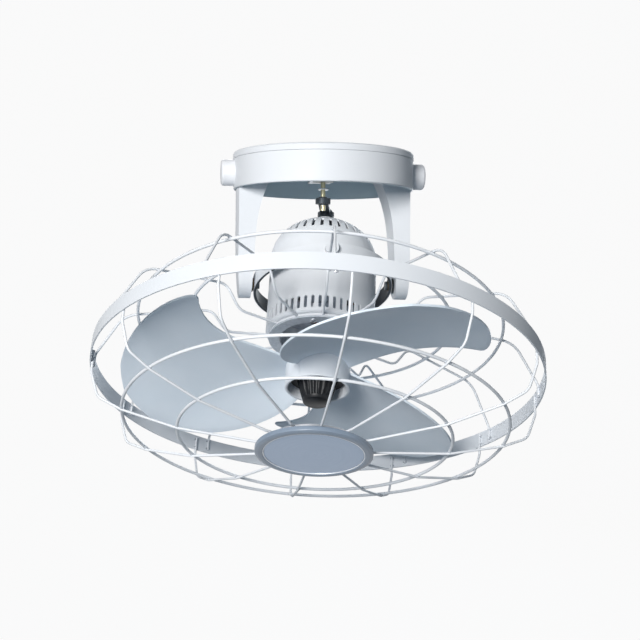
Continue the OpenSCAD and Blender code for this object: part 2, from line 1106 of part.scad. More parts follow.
module badge_rim() {
    color("slategray")
        in_head()
            difference() {
                translate([0, 0, badge_z])
                    mirror([0, 0, 1])
                        rounded_disc(badge_d, badge_t, 2.5);
                translate([0, 0, badge_z - badge_t - 1])
                    cylinder(r = rib_r + 2, h = 3);
                badge_screw_places()
                    translate([0, 0, -3])
                        cylinder(d = badge_screw_d + 2 * slip_gap, h = 4);
            }
}

module badge_plate() {
    color("lightsteelblue")
        in_head()
            translate([0, 0, badge_z - badge_t + 2 - slip_gap])
                mirror([0, 0, 1])
                    rounded_disc(2 * rib_r, 1.5, 0.8);
}

// A washer plate above the guard's smallest ring, which the badge is screwed to
module badge_clamp() {
    low = badge_ring_z + ring_wire_d / 2;
    color("dimgray")
        in_head()
            difference() {
                tube(2 * badge_ring_r + 8, 34, low, low + clamp_t);
                badge_screw_places()
                    cylinder(d = badge_screw_d + 2 * slip_gap, h = 12);
            }
}

module badge_screws() {
    top = badge_ring_z - badge_z + ring_wire_d / 2 + clamp_t;
    color("silver")
        in_head()
            badge_screw_places() {
                translate([0, 0, -2.5])
                    cylinder(d = badge_screw_d, h = top + 2.5);
                translate([0, 0, top])
                    cylinder(d = 2 * badge_screw_d, h = 2);
            }
}

// Rotor body
module motor_shaft() {
    color("silver")
        in_head()
            difference() {
                translate([0, 0, hub_low - nut_h + nut_floor])
                    cylinder(d = shaft_d, h = plate_reach + 2 - hub_low + nut_h - nut_floor);
                translate([0, 0, pin_z])
                    rotate([90, 0, 0])
                        cylinder(d = pin_d + 2 * slip_gap, h = shaft_d + 2, center = true);
            }
}

module rotor_core() {
    color("slategray")
        in_head()
            tube(2 * rotor_r, shaft_d + 2 * slip_gap, -core_h, core_h);
}

module drive_pin() {
    color("silver")
        in_head()
            translate([0, 0, pin_z])
                rotate([90, 0, 0])
                    cylinder(d = pin_d, h = hub_boss_d - 2, center = true);
}

// One blade as a curved sheet. f runs from the hub, 0, to the tip, 1, and turns are counted from
// the low edge's start. The low edge sweeps back along the blade and the high edge bellies out.
function low_edge(f) = low_sweep * f + low_hook * pow(f, 12);
function high_edge(f) = root_turn - high_sweep * f + high_belly * f * f
    - tip_round * pow(max(0, f - tip_from) / (1 - tip_from), 1.8);
function blade_height(f, turn, s) = -root_low + root_rise * turn - root_arch * turn * turn
    + (tip_twist * turn - tip_drop) * f - 4 * root_flat * s * (1 - s) * pow(1 - f, 2);
function blade_point(i, j, lift) = let (
        f = sin(90 * i / blade_steps),
        s = j / chord_steps,
        turn = low_edge(f) + s * (high_edge(f) - low_edge(f)),
        r = hub_r - hub_wall / 2 + (sweep_r - hub_r + hub_wall / 2) * f
    ) [r * cos(turn), r * sin(turn), blade_height(f, turn, s) + lift];

module blade() {
    rows = blade_steps + 1;
    cols = chord_steps + 1;
    top = [for (i = [0 : blade_steps], j = [0 : chord_steps]) blade_point(i, j, blade_t / 2)];
    low = [for (i = [0 : blade_steps], j = [0 : chord_steps]) blade_point(i, j, -blade_t / 2)];
    n = rows * cols;
    faces_top = [for (i = [0 : blade_steps - 1], j = [0 : chord_steps - 1], half = [0, 1])
        let (a = i * cols + j)
        half == 0 ? [a, a + 1, a + cols + 1] : [a, a + cols + 1, a + cols]];
    faces_low = [for (f = faces_top) [f[0] + n, f[2] + n, f[1] + n]];
    rim = concat(
        [for (j = [0 : chord_steps - 1]) j],
        [for (i = [0 : blade_steps - 1]) i * cols + chord_steps],
        [for (j = [chord_steps : -1 : 1]) blade_steps * cols + j],
        [for (i = [blade_steps : -1 : 1]) i * cols]
    );
    sides = [for (k = [0 : len(rim) - 1], half = [0, 1])
        let (a = rim[k], b = rim[(k + 1) % len(rim)])
        half == 0 ? [b, a, a + n] : [b, a + n, b + n]];
    polyhedron(points = concat(top, low), faces = concat(faces_top, faces_low, sides));
}

module fan_rotor() {
    color("lightsteelblue")
        in_head()
            difference() {
                union() {
                    around(blades, blade_turn)
                        blade();
                    tube(hub_d, hub_d - 2 * hub_wall, hub_low, hub_top);
                    translate([0, 0, hub_floor])
                        cylinder(d = hub_d - 1, h = hub_wall);
                    translate([0, 0, hub_floor])
                        cylinder(d = hub_boss_d, h = hub_h - boss_sink - hub_recess);
                }
                translate([0, 0, hub_low - 1])
                    cylinder(d = shaft_d + 2 * slip_gap, h = hub_h + 2);
                translate([-pin_d / 2 - slip_gap, -hub_boss_d, pin_z - pin_d / 2 - slip_gap])
                    cube([pin_d + 2 * slip_gap, 2 * hub_boss_d, hub_h]);
            }
}

// The flutes run along the cone and end above a smooth rim
module spinner_nut() {
    low = hub_low - nut_h;
    h = hub_floor - 0.1 - low;
    lean = atan((nut_top_d - nut_low_d) / 2 / h);
    color("black")
        in_head()
            translate([0, 0, low])
                difference() {
                    cylinder(d1 = nut_low_d, d2 = nut_top_d, h = h);
                    translate([0, 0, nut_floor - slip_gap])
                        cylinder(d = shaft_d + 2 * slip_gap, h = h);
                    around(flutes)
                        translate([nut_low_d / 2 + nut_rim * tan(lean) + flute_out, 0, nut_rim])
                            rotate([0, lean, 0])
                                cylinder(d = flute_d, h = 2 * h, $fn = 24);
                }
}

// Crank body, and the rod that turns in its arm
module crank_shaft() {
    color("silver")
        in_crank()
            translate([0, 0, gear_z + gear_h - 7])
                cylinder(d = crank_d, h = arm_top - gear_z - gear_h + 6);
}

// The arm lies square to the line halfway between the head's axis and the rod
module crank_arm() {
    half_l = arm_reach * sin(orbit_tilt / 2);
    color("dimgray")
        in_crank()
            difference() {
                union() {
                    rotate([0, orbit_tilt / 2, 0])
                        translate([0, 0, arm_reach * cos(orbit_tilt / 2) - arm_t / 2])
                            linear_extrude(arm_t)
                                arm_outline(half_l);
                    translate([0, 0, arm_low])
                        cylinder(d1 = arm_base_d, d2 = crank_d + 4, h = arm_top - arm_low);
                    along_rod()
                        translate([0, 0, arm_reach - eye_h / 2])
                            cylinder(d = arm_end_d, h = eye_h);
                }
                translate([0, 0, arm_low - 5])
                    cylinder(d = crank_d + 2 * slip_gap, h = 30);
                along_rod()
                    translate([0, 0, arm_reach - 12])
                        cylinder(d = rod_d + 2 * run_gap, h = 24);
            }
}

module arm_outline(half_l) {
    translate([-half_l, 0])
        circle(d = arm_base_d - 2);
    translate([half_l, 0])
        circle(d = arm_end_d - 2);
    square([2 * half_l, arm_neck], center = true);
}

module orbit_rod() {
    color("khaki")
        in_crank()
            along_rod()
                translate([0, 0, rod_low])
                    cylinder(d = rod_d, h = rod_reach - rod_low);
}

module rod_washer() {
    color("gainsboro")
        in_crank()
            along_rod()
                tube(rod_d + 6, rod_d, washer_at, washer_at + washer_t);
}

// Two clips on the rod, which the arm's eye turns between
module rod_clips() {
    color("dimgray")
        in_crank()
            along_rod()
                for (low = [arm_reach - eye_h / 2 - face_gap - clip_t, arm_reach + eye_h / 2 + face_gap])
                    tube(rod_d + 4, rod_d, low, low + clip_t);
}

ceiling_plate();
canopy_shell();
bridge_bracket();
rod_bush();
yoke_leg_left();
yoke_leg_right();
side_cap_left();
side_cap_right();
leg_screws();
pivot_bolt_left();
pivot_bolt_right();
pivot_spacers();
terminal_block();
run_capacitor();
earth_screw();
gimbal_ring();
gimbal_bushes();
motor_top_cover();
motor_lower_cover();
motor_frame();
stator_core();
winding_upper();
winding_lower();
upper_bearing_plate();
lower_bearing_plate();
upper_bearing();
lower_bearing();
orbit_gearmotor();
inner_pin_near();
inner_pin_far();
cover_screws();
guard_clamp();
guard_screws();
upper_guard();
guard_band();
band_clamp();
band_screw();
lower_guard();
badge_rim();
badge_plate();
badge_clamp();
badge_screws();
motor_shaft();
rotor_core();
drive_pin();
fan_rotor();
spinner_nut();
crank_shaft();
crank_arm();
orbit_rod();
rod_washer();
rod_clips();
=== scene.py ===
"""Looks of an orbital ceiling fan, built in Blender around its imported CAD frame.

The canopy hangs from the ceiling, two cast legs carry a gimbal, and the motor head leans in it inside a wire
guard. Sizes of pieces are in millimetres and become metres as a mesh is made. Pieces of the head are drawn
upright round the motor's axis and then leaned with it.
"""
# ruff: noqa: E402

import json
import logging
import math
from dataclasses import dataclass
from enum import Enum
from typing import Iterable, Optional, Sequence

import bmesh
import bpy
from mathutils import Matrix, Vector

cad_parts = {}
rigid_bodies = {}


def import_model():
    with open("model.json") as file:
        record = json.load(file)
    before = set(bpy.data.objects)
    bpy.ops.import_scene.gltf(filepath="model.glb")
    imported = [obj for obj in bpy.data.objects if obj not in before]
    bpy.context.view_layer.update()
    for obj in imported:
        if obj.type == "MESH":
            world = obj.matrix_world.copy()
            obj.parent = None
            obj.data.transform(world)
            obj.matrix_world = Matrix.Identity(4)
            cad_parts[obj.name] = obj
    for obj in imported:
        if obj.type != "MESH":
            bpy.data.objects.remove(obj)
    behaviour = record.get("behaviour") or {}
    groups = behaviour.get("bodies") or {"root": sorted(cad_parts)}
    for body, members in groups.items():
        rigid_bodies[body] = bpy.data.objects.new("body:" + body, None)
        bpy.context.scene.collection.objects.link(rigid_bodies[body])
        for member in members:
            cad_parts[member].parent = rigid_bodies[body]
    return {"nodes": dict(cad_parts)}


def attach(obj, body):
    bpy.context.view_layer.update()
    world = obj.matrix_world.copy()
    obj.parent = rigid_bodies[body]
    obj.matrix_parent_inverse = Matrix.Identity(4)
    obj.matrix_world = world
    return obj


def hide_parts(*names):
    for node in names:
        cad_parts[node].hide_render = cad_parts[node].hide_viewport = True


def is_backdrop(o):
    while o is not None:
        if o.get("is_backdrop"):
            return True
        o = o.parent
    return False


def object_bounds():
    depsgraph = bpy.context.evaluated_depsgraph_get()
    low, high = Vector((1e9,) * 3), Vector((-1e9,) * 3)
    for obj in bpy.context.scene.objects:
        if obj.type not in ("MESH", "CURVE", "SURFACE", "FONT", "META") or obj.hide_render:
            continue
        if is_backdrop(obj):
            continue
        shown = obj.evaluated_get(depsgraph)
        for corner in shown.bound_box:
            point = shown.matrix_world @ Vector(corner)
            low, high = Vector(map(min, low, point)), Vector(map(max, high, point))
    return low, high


LOG = logging.getLogger("orbit_fan")
MM = 0.001
Colour = tuple[float, float, float]
Corner = Sequence[float]
Pair = tuple[float, float]
Masks = tuple[object, object]
Mesh = bpy.types.Mesh
Socket = bpy.types.NodeSocket
Tree = bpy.types.ShaderNodeTree


class Body(Enum):
    """The rigid bodies of the CAD frame that pieces ride on."""

    CANOPY = "canopy"
    HEAD = "head"
    ROTOR = "rotor"


@dataclass(frozen=True)
class Lean:
    """How the head hangs at rest: the lean of its axis as the two angles of the gimbal."""

    tilt: float = math.radians(28.5)
    phase: float = math.radians(12.5)
    drop: float = 139 * MM

    def ring(self) -> Matrix:
        """Places what is drawn upright round the gimbal ring's axis."""
        swing = math.atan(math.tan(self.tilt) * math.cos(self.phase))
        return Matrix.Translation((0, 0, -self.drop)) @ Matrix.Rotation(-swing, 4, "X")

    def head(self) -> Matrix:
        """Places what is drawn upright round the motor's axis."""
        roll = math.asin(math.sin(self.tilt) * math.sin(self.phase))
        return self.ring() @ Matrix.Rotation(roll, 4, "Y")


LEAN = Lean()


# ---------------------------------------------------------------- node trees


class Graph:
    """A node tree that is built one node at a time."""

    def __init__(self, tree: bpy.types.NodeTree) -> None:
        """Starts from an empty tree.

        Args:
            tree: The shader or geometry tree to fill.
        """
        self.tree = tree
        tree.nodes.clear()

    def add(self, kind: str, inputs: Optional[dict] = None, **props: object) -> bpy.types.Node:
        """Adds a node and links or sets its inputs.

        Args:
            kind: The node's type name.
            inputs: For each input's name or number, an output socket to link from or a value to set.
            props: Properties of the node, such as operation or node_tree.

        Returns:
            The new node.
        """
        node = self.tree.nodes.new(kind)
        for name, value in props.items():
            setattr(node, name, value)
        for key, value in (inputs or {}).items():
            if isinstance(value, Socket):
                self.tree.links.new(value, node.inputs[key])
            else:
                node.inputs[key].default_value = value
        return node

    def math(self, operation: str, *values: object) -> Socket:
        """Adds a Math node and returns its output."""
        return self.add("ShaderNodeMath", dict(enumerate(values)), operation=operation).outputs[0]

    def ramp(self, value: object, low: float, high: float, start: float = 0.0) -> Socket:
        """Adds a Map Range node that takes low to start and high to 1, and returns its output."""
        return self.add("ShaderNodeMapRange", {0: value, 1: low, 2: high, 3: start, 4: 1.0}).outputs[0]

    def mixed(self, mask: object, first: object, second: object) -> Socket:
        """Adds a Mix node for two colours and returns its output."""
        return self.add("ShaderNodeMix", {0: mask, 6: first, 7: second}, data_type="RGBA").outputs[2]

    def group(self, tree: Tree, inputs: dict) -> Sequence[Socket]:
        """Places a shared group and returns its outputs."""
        return self.add("ShaderNodeGroup", inputs, node_tree=tree).outputs

    def sockets(self, ways: dict[str, dict[str, tuple]]) -> "Graph":
        """Makes the sockets of a group's tree.

        Args:
            ways: For INPUT and OUTPUT, each socket's name with its type and, if it has one, its default.

        Returns:
            The graph itself.
        """
        for way, sockets in ways.items():
            for label, (kind, *default) in sockets.items():
                socket = self.tree.interface.new_socket(label, in_out=way, socket_type=kind)
                if default:
                    socket.default_value = default[0]
        return self


def rgba(colour: Colour) -> tuple[float, float, float, float]:
    """A colour as a node socket holds it."""
    return (*colour, 1.0)


NUMBER, VECTOR, COLOUR = "NodeSocketFloat", "NodeSocketVector", "NodeSocketColor"


class ShaderGroups:
    """The shader node groups that several finishes share, each made once."""

    def __init__(self) -> None:
        """Makes the groups."""
        self.grain = self._grain()
        self.blend = self._blend()
        self.polar = self._polar()
        self.settled = self._settled()

    @staticmethod
    def _group(name: str, inputs: dict[str, tuple], outputs: dict[str, tuple]) -> tuple[Graph, object]:
        """Makes a group's tree with its named sockets.

        Args:
            name: The group's name.
            inputs: For each input, its socket type and its default value if it has one.
            outputs: For each output, its socket type.

        Returns:
            The graph to fill and the sockets of its inputs.
        """
        graph = Graph(bpy.data.node_groups.new(name, "ShaderNodeTree"))
        graph.sockets({"INPUT": inputs, "OUTPUT": outputs})
        return graph, graph.add("NodeGroupInput").outputs

    def _grain(self) -> Tree:
        """Fine unevenness of a coat: a height for the bump and a slow mottle, both from 0 to 1."""
        graph, source = self._group(
            "coat_grain",
            {"Vector": (VECTOR,), "Fine": (NUMBER, 900.0), "Slow": (NUMBER, 22.0)},
            {"Height": (NUMBER,), "Mottle": (NUMBER,)},
        )
        fine, slow = (
            graph.add("ShaderNodeTexNoise", {"Vector": source["Vector"], "Scale": scale, "Detail": detail}).outputs[0]
            for scale, detail in ((source["Fine"], 2.0), (source["Slow"], 4.0))
        )
        graph.add("NodeGroupOutput", {"Height": fine, "Mottle": graph.ramp(slow, 0.33, 0.7)})
        return graph.tree

    def _blend(self) -> Tree:
        """A colour between two that a mask chooses, and a roughness that follows the same mask."""
        graph, source = self._group(
            "tone_blend",
            {
                "Mask": (NUMBER, 0.5),
                "Colour": (COLOUR, (0.8, 0.8, 0.8, 1.0)),
                "Other Colour": (COLOUR, (0.6, 0.6, 0.6, 1.0)),
                "Roughness": (NUMBER, 0.4),
                "Other Roughness": (NUMBER, 0.5),
            },
            {"Colour": (COLOUR,), "Roughness": (NUMBER,)},
        )
        mixed = graph.mixed(source["Mask"], source["Colour"], source["Other Colour"])
        rough = graph.add("ShaderNodeMix", {0: source["Mask"], 2: source["Roughness"], 3: source["Other Roughness"]})
        graph.add("NodeGroupOutput", {"Colour": mixed, "Roughness": rough.outputs[0]})
        return graph.tree

    def _polar(self) -> Tree:
        """Coordinates round an axis: the radius, the turn in radians and the height along the axis."""
        graph, source = self._group(
            "round_axis", {"Vector": (VECTOR,)}, {"Radius": (NUMBER,), "Turn": (NUMBER,), "Height": (NUMBER,)}
        )
        parts = graph.add("ShaderNodeSeparateXYZ", {0: source["Vector"]}).outputs
        squares = graph.math("MULTIPLY_ADD", parts[0], parts[0], graph.math("MULTIPLY", parts[1], parts[1]))
        places = {
            "Radius": graph.math("SQRT", squares),
            "Turn": graph.math("ARCTAN2", parts[1], parts[0]),
            "Height": parts[2],
        }
        graph.add("NodeGroupOutput", places)
        return graph.tree

    def _settled(self) -> Tree:
        """Where dust settles: on faces that look up, broken up by noise. Puts out a mask from 0 to 1."""
        graph, source = self._group(
            "settled_dust",
            {"Vector": (VECTOR,), "Normal": (VECTOR,), "Amount": (NUMBER, 0.3)},
            {"Mask": (NUMBER,)},
        )
        up = graph.add("ShaderNodeSeparateXYZ", {0: source["Normal"]}).outputs[2]
        specks = graph.add("ShaderNodeTexNoise", {"Vector": source["Vector"], "Scale": 260.0, "Detail": 5.0})
        broken = graph.ramp(specks.outputs[0], 0.42, 0.68, 0.35)
        facing = graph.math("MULTIPLY", graph.ramp(up, 0.35, 1.0), broken)
        graph.add("NodeGroupOutput", {"Mask": graph.math("MULTIPLY", facing, source["Amount"])})
        return graph.tree


# ---------------------------------------------------------------- finishes


class Place(Enum):
    """Which coordinates a finish's pattern is drawn in."""

    FRAME = "frame"
    RING = "ring"
    HEAD = "head"

    def matrix(self) -> Matrix:
        """The place of these coordinates in the frame."""
        return {Place.FRAME: Matrix.Identity(4), Place.RING: LEAN.ring(), Place.HEAD: LEAN.head()}[self]


@dataclass(frozen=True)
class Finish:
    """What all finishes have: a name, a colour and its duller companion, and how rough each is."""

    name: str
    colour: Colour
    other: Colour
    roughness: float = 0.4
    other_roughness: float = 0.5
    place: Place = Place.FRAME
    metallic: float = 0.0
    coat: float = 0.0
    coat_roughness: float = 0.15
    specular: float = 0.5
    bump: float = 0.1
    depth: float = 0.0003

    def pattern(self, graph: Graph, groups: ShaderGroups, vector: Socket) -> Masks:
        """Draws the finish's pattern.

        Args:
            graph: The material's graph.
            groups: The shared shader groups.
            vector: The coordinates.

        Returns:
            The mask between the two colours, and the height for the bump.
        """
        raise NotImplementedError

    def over(self, graph: Graph, groups: ShaderGroups, vector: Socket, colour: object) -> object:
        """Lays what lies over the colour on it, which is nothing on most finishes."""
        return colour

    def build(self, groups: ShaderGroups) -> bpy.types.Material:
        """Makes the material.

        Args:
            groups: The shared shader groups.

        Returns:
            The material.
        """
        material = bpy.data.materials.new(self.name)
        material.use_nodes = True
        graph = Graph(material.node_tree)
        vector = graph.add("ShaderNodeTexCoord").outputs["Object"]
        if self.place is not Place.FRAME:
            back = self.place.matrix().inverted()
            turn = {"Vector": vector, "Location": back.to_translation(), "Rotation": back.to_euler("XYZ")}
            vector = graph.add("ShaderNodeMapping", turn).outputs[0]
        mask, height = self.pattern(graph, groups, vector)
        tones = {
            "Mask": mask,
            "Colour": rgba(self.colour),
            "Other Colour": rgba(self.other),
            "Roughness": self.roughness,
            "Other Roughness": self.other_roughness,
        }
        tone = graph.group(groups.blend, tones)
        bump = graph.add("ShaderNodeBump", {"Height": height, "Strength": self.bump, "Distance": self.depth})
        shader = graph.add(
            "ShaderNodeBsdfPrincipled",
            {
                "Base Color": self.over(graph, groups, vector, tone["Colour"]),
                "Roughness": tone["Roughness"],
                "Normal": bump.outputs[0],
                "Metallic": self.metallic,
                "Coat Weight": self.coat,
                "Coat Roughness": self.coat_roughness,
                "Specular IOR Level": self.specular,
            },
        )
        graph.add("ShaderNodeOutputMaterial", {"Surface": shader.outputs[0]})
        return material


@dataclass(frozen=True)
class Moulded(Finish):
    """Injection-moulded plastic with a slow mottle and a fine spark grain."""

    fine: float = 1500.0
    slow: float = 30.0

    def pattern(self, graph: Graph, groups: ShaderGroups, vector: Socket) -> Masks:
        """Draws the mottle and the grain."""
        grain = graph.group(groups.grain, {"Vector": vector, "Fine": self.fine, "Slow": self.slow})
        return grain["Mottle"], grain["Height"]


@dataclass(frozen=True)
class Enamel(Moulded):
    """Sprayed paint: a faint orange peel for a grain, dust on what looks up, and painted shade inside a radius, a
    darker colour that stands in for the shade in a hollow.
    """

    roughness: float = 0.46
    other_roughness: float = 0.54
    specular: float = 0.15
    fine: float = 620.0
    slow: float = 16.0
    dust: float = 0.0
    dust_colour: Colour = (0.72, 0.72, 0.69)
    painted_shade: Optional[Colour] = None
    painted_shade_radius: float = 0.0
    painted_shade_blur: float = 0.2

    def over(self, graph: Graph, groups: ShaderGroups, vector: Socket, colour: object) -> object:
        """Lays the painted shade and the dust over the colour."""
        # Painted shade: inside the radius the colour turns to a darker one that stands in for the shade there. The
        # dust is real dust on faces that look up.
        if self.painted_shade:
            radius = graph.group(groups.polar, {"Vector": vector})["Radius"]
            low, high = ((self.painted_shade_radius + blur) * MM for blur in (-self.painted_shade_blur, self.painted_shade_blur))
            colour = graph.mixed(graph.ramp(radius, low, high), rgba(self.painted_shade), colour)
        if self.dust:
            normal = graph.add("ShaderNodeTexCoord").outputs["Normal"]
            mask = graph.group(groups.settled, {"Vector": vector, "Normal": normal, "Amount": self.dust})["Mask"]
            colour = graph.mixed(mask, colour, rgba(self.dust_colour))
        return colour


@dataclass(frozen=True)
class Plated(Finish):
    """Bare, plated or ground metal with drawn streaks along one axis."""

    streak: tuple[float, float, float] = (60.0, 60.0, 900.0)

    def pattern(self, graph: Graph, groups: ShaderGroups, vector: Socket) -> Masks:
        """Draws the streaks."""
        drawn = graph.add("ShaderNodeMapping", {"Vector": vector, "Scale": self.streak}).outputs[0]
        streaks = graph.add("ShaderNodeTexNoise", {"Vector": drawn, "Scale": 1.0, "Detail": 3.0}).outputs[0]
        return graph.ramp(streaks, 0.3, 0.7), streaks


@dataclass(frozen=True)
class Turned(Finish):
    """Fine rings round an axis: brushed metal, or the strands of a winding."""

    rings: float = 5200.0

    def pattern(self, graph: Graph, groups: ShaderGroups, vector: Socket) -> Masks:
        """Draws the rings."""
        polar = graph.group(groups.polar, {"Vector": vector})
        point = {
            0: graph.math("MULTIPLY", polar["Radius"], self.rings),
            1: polar["Turn"],
            2: graph.math("MULTIPLY", polar["Height"], self.rings),
        }
        place = graph.add("ShaderNodeCombineXYZ", point).outputs[0]
        lines = graph.add("ShaderNodeTexNoise", {"Vector": place, "Scale": 1.0, "Detail": 2.0}).outputs[0]
        return graph.ramp(lines, 0.3, 0.7), lines


@dataclass(frozen=True)
class Laminated(Finish):
    """A stack of thin steel sheets along the motor's axis."""

    sheets: float = 2000.0

    def pattern(self, graph: Graph, groups: ShaderGroups, vector: Socket) -> Masks:
        """Draws the edges of the sheets."""
        height = graph.group(groups.polar, {"Vector": vector})["Height"]
        wave = graph.math("SINE", graph.math("MULTIPLY", height, self.sheets * math.pi))
        mask = graph.ramp(wave, -1.0, 1.0)
        return mask, mask


WHITE: Colour = (0.8, 0.82, 0.85)
WHITE_LOW: Colour = (0.77, 0.795, 0.83)
HEAD = Place.HEAD
FINISHES: tuple[Finish, ...] = (
    # The bluish grey inside radius 93.6 mm is painted shade: it stands in for the shade inside the canopy shell.
    Enamel("canopy_enamel", WHITE, WHITE_LOW, painted_shade=(0.74, 0.85, 0.9), painted_shade_radius=93.6),
    Enamel("leg_enamel", WHITE, WHITE_LOW, bump=0.2),
    # The near black inside radius 73 mm is painted shade: the gimbal ring is white all round, and its inner face is
    # drawn dark for the shade it lies in.
    Enamel("ring_enamel", WHITE, WHITE_LOW, place=Place.RING, painted_shade=(0.05, 0.06, 0.07), painted_shade_radius=73.0),
    Enamel("motor_enamel", WHITE, WHITE_LOW, place=HEAD, dust=0.12),
    Enamel("wire_coat", (0.84, 0.86, 0.89), (0.79, 0.815, 0.85), 0.4, 0.5, HEAD, specular=0.5, slow=60.0, bump=0.03),
    Enamel("weld_coat", (0.52, 0.55, 0.6), (0.36, 0.39, 0.43), 0.42, 0.55, HEAD, specular=0.5, slow=200.0, bump=0.4),
    Enamel("band_enamel", (0.8, 0.825, 0.86), (0.765, 0.795, 0.835), place=HEAD, bump=0.03),
    Moulded("cap_plastic", (0.85, 0.86, 0.885), (0.8, 0.815, 0.85), 0.36, 0.44),
    Moulded("pale_plastic", (0.78, 0.77, 0.72), (0.7, 0.69, 0.64), 0.5, 0.6),
    Moulded("blade_plastic", (0.83, 0.9, 0.97), (0.8, 0.88, 0.955), 0.4, 0.46, HEAD, specular=0.15),
    Moulded("hub_plastic", (0.84, 0.875, 0.92), (0.81, 0.85, 0.9), 0.4, 0.46, HEAD, specular=0.25),
    Moulded("black_plastic", (0.006, 0.007, 0.009), (0.01, 0.012, 0.015), 0.34, 0.46, HEAD, specular=0.25),
    Moulded("rim_plastic", (0.24, 0.3, 0.38), (0.21, 0.265, 0.345), 0.32, 0.4, HEAD, coat=0.2),
    Plated("dark_steel", (0.06, 0.075, 0.09), (0.11, 0.125, 0.14), 0.42, 0.55, metallic=0.6),
    Plated("zinc_steel", (0.62, 0.64, 0.67), (0.5, 0.52, 0.55), 0.3, 0.42, metallic=1.0),
    Plated("yellow_zinc", (0.72, 0.66, 0.40), (0.6, 0.56, 0.4), 0.26, 0.38, metallic=1.0),
    Plated("bright_steel", (0.72, 0.73, 0.75), (0.6, 0.61, 0.64), 0.2, 0.3, HEAD, metallic=1.0),
    Plated("bright_trim", (0.86, 0.89, 0.92), (0.78, 0.81, 0.85), 0.3, 0.4, HEAD, metallic=0.4),
    Plated("grey_casting", (0.56, 0.6, 0.65), (0.46, 0.5, 0.55), 0.5, 0.62, metallic=0.5, streak=(300.0,) * 3),
    Plated("sintered_bronze", (0.2, 0.14, 0.08), (0.15, 0.105, 0.06), 0.5, 0.6, metallic=0.9, streak=(900.0,) * 3),
    Turned("spun_silver", (0.36, 0.44, 0.56), (0.3, 0.38, 0.5), 0.32, 0.42, HEAD, 0.6, depth=0.0001),
    Turned("enamelled_copper", (0.45, 0.16, 0.05), (0.3, 0.1, 0.03), 0.3, 0.42, HEAD, 0.7, bump=0.6, rings=1400.0),
    Laminated("core_sheets", (0.30, 0.31, 0.33), (0.16, 0.17, 0.18), 0.45, 0.6, HEAD, 0.9, bump=0.4),
)


class FinishBook:
    """Every finish of the fan by name, made into a material the first time it is asked for."""

    def __init__(self, groups: ShaderGroups) -> None:
        """Opens the book.

        Args:
            groups: The shared shader groups.
        """
        self.groups = groups
        self.finishes = {finish.name: finish for finish in FINISHES}
        self.made: dict[str, bpy.types.Material] = {}

    def get(self, name: str) -> bpy.types.Material:
        """Gives the material of the finish of that name."""
        if name not in self.made:
            self.made[name] = self.finishes[name].build(self.groups)
        return self.made[name]


NODE_FINISHES: dict[str, tuple[str, ...]] = {
    "canopy_enamel": ("ceiling_plate", "canopy_shell"),
    "leg_enamel": ("yoke_leg_left", "yoke_leg_right"),
    "ring_enamel": ("gimbal_ring", "inner_pin_near", "inner_pin_far"),
    "cap_plastic": ("side_cap_left", "side_cap_right"),
    "zinc_steel": ("bridge_bracket", "leg_screws", "earth_screw", "cover_screws", "guard_screws", "band_screw",
                   "badge_screws", "rod_washer", "band_clamp", "badge_clamp"),
    "pale_plastic": ("rod_bush", "terminal_block", "run_capacitor"),
    "dark_steel": ("pivot_bolt_left", "pivot_bolt_right", "pivot_spacers", "crank_arm", "rod_clips"),
    "sintered_bronze": ("gimbal_bushes",),
    "motor_enamel": ("motor_top_cover", "motor_lower_cover", "motor_frame"),
    "core_sheets": ("stator_core", "rotor_core"),
    "enamelled_copper": ("winding_upper", "winding_lower"),
    "grey_casting": ("upper_bearing_plate", "lower_bearing_plate", "guard_clamp", "orbit_gearmotor"),
    "bright_steel": ("upper_bearing", "lower_bearing", "motor_shaft", "drive_pin", "crank_shaft"),
    "wire_coat": ("upper_guard", "lower_guard"),
    "band_enamel": ("guard_band",),
    "rim_plastic": ("badge_rim",),
    "spun_silver": ("badge_plate",),
    "blade_plastic": ("fan_rotor",),
    "black_plastic": ("spinner_nut",),
    "yellow_zinc": ("orbit_rod",),
}


@dataclass
class FrameDress:
    """Gives every CAD node its finish."""

    nodes: dict[str, bpy.types.Object]
    book: FinishBook

    def dress(self) -> None:
        """Assigns the finishes to the nodes' material slots."""
        for finish, names in NODE_FINISHES.items():
            for name in names:
                data = self.nodes[name].data
                data.materials.clear()
                data.materials.append(self.book.get(finish))
                LOG.info("%s wears %s", name, finish)


# ---------------------------------------------------------------- making meshes


def bent(corners: Sequence[Corner], closed: bool = False, steps: int = 6) -> list[Pair]:
    """Rounds the corners of an outline or a wire's path with arcs.

    Args:
        corners: The corners as radius and height, and the radius of the rounding where there is one.
        closed: Whether the last corner joins the first.
        steps: How many edges an arc has.

    Returns:
        The points of the rounded line.
    """
    points: list[Pair] = []
    for i, (x, y, *rounding) in enumerate(corners):
        radius = rounding[0] if rounding else 0.0
        if radius <= 0 or (not closed and i in (0, len(corners) - 1)):
            points.append((x, y))
            continue
        here = Vector((x, y))
        back = (Vector(corners[i - 1][:2]) - here).normalized()
        ahead = (Vector(corners[(i + 1) % len(corners)][:2]) - here).normalized()
        half = back.angle(ahead) / 2
        centre = here + (back + ahead).normalized() * (radius / math.sin(half))
        arm = here + back * (radius / math.tan(half)) - centre
        sweep = arm.angle_signed(here + ahead * (radius / math.tan(half)) - centre)
        for k in range(steps + 1):
            spoke = arm.copy()
            spoke.rotate(Matrix.Rotation(-sweep * k / steps, 2))
            points.append(tuple(centre + spoke))
    return points


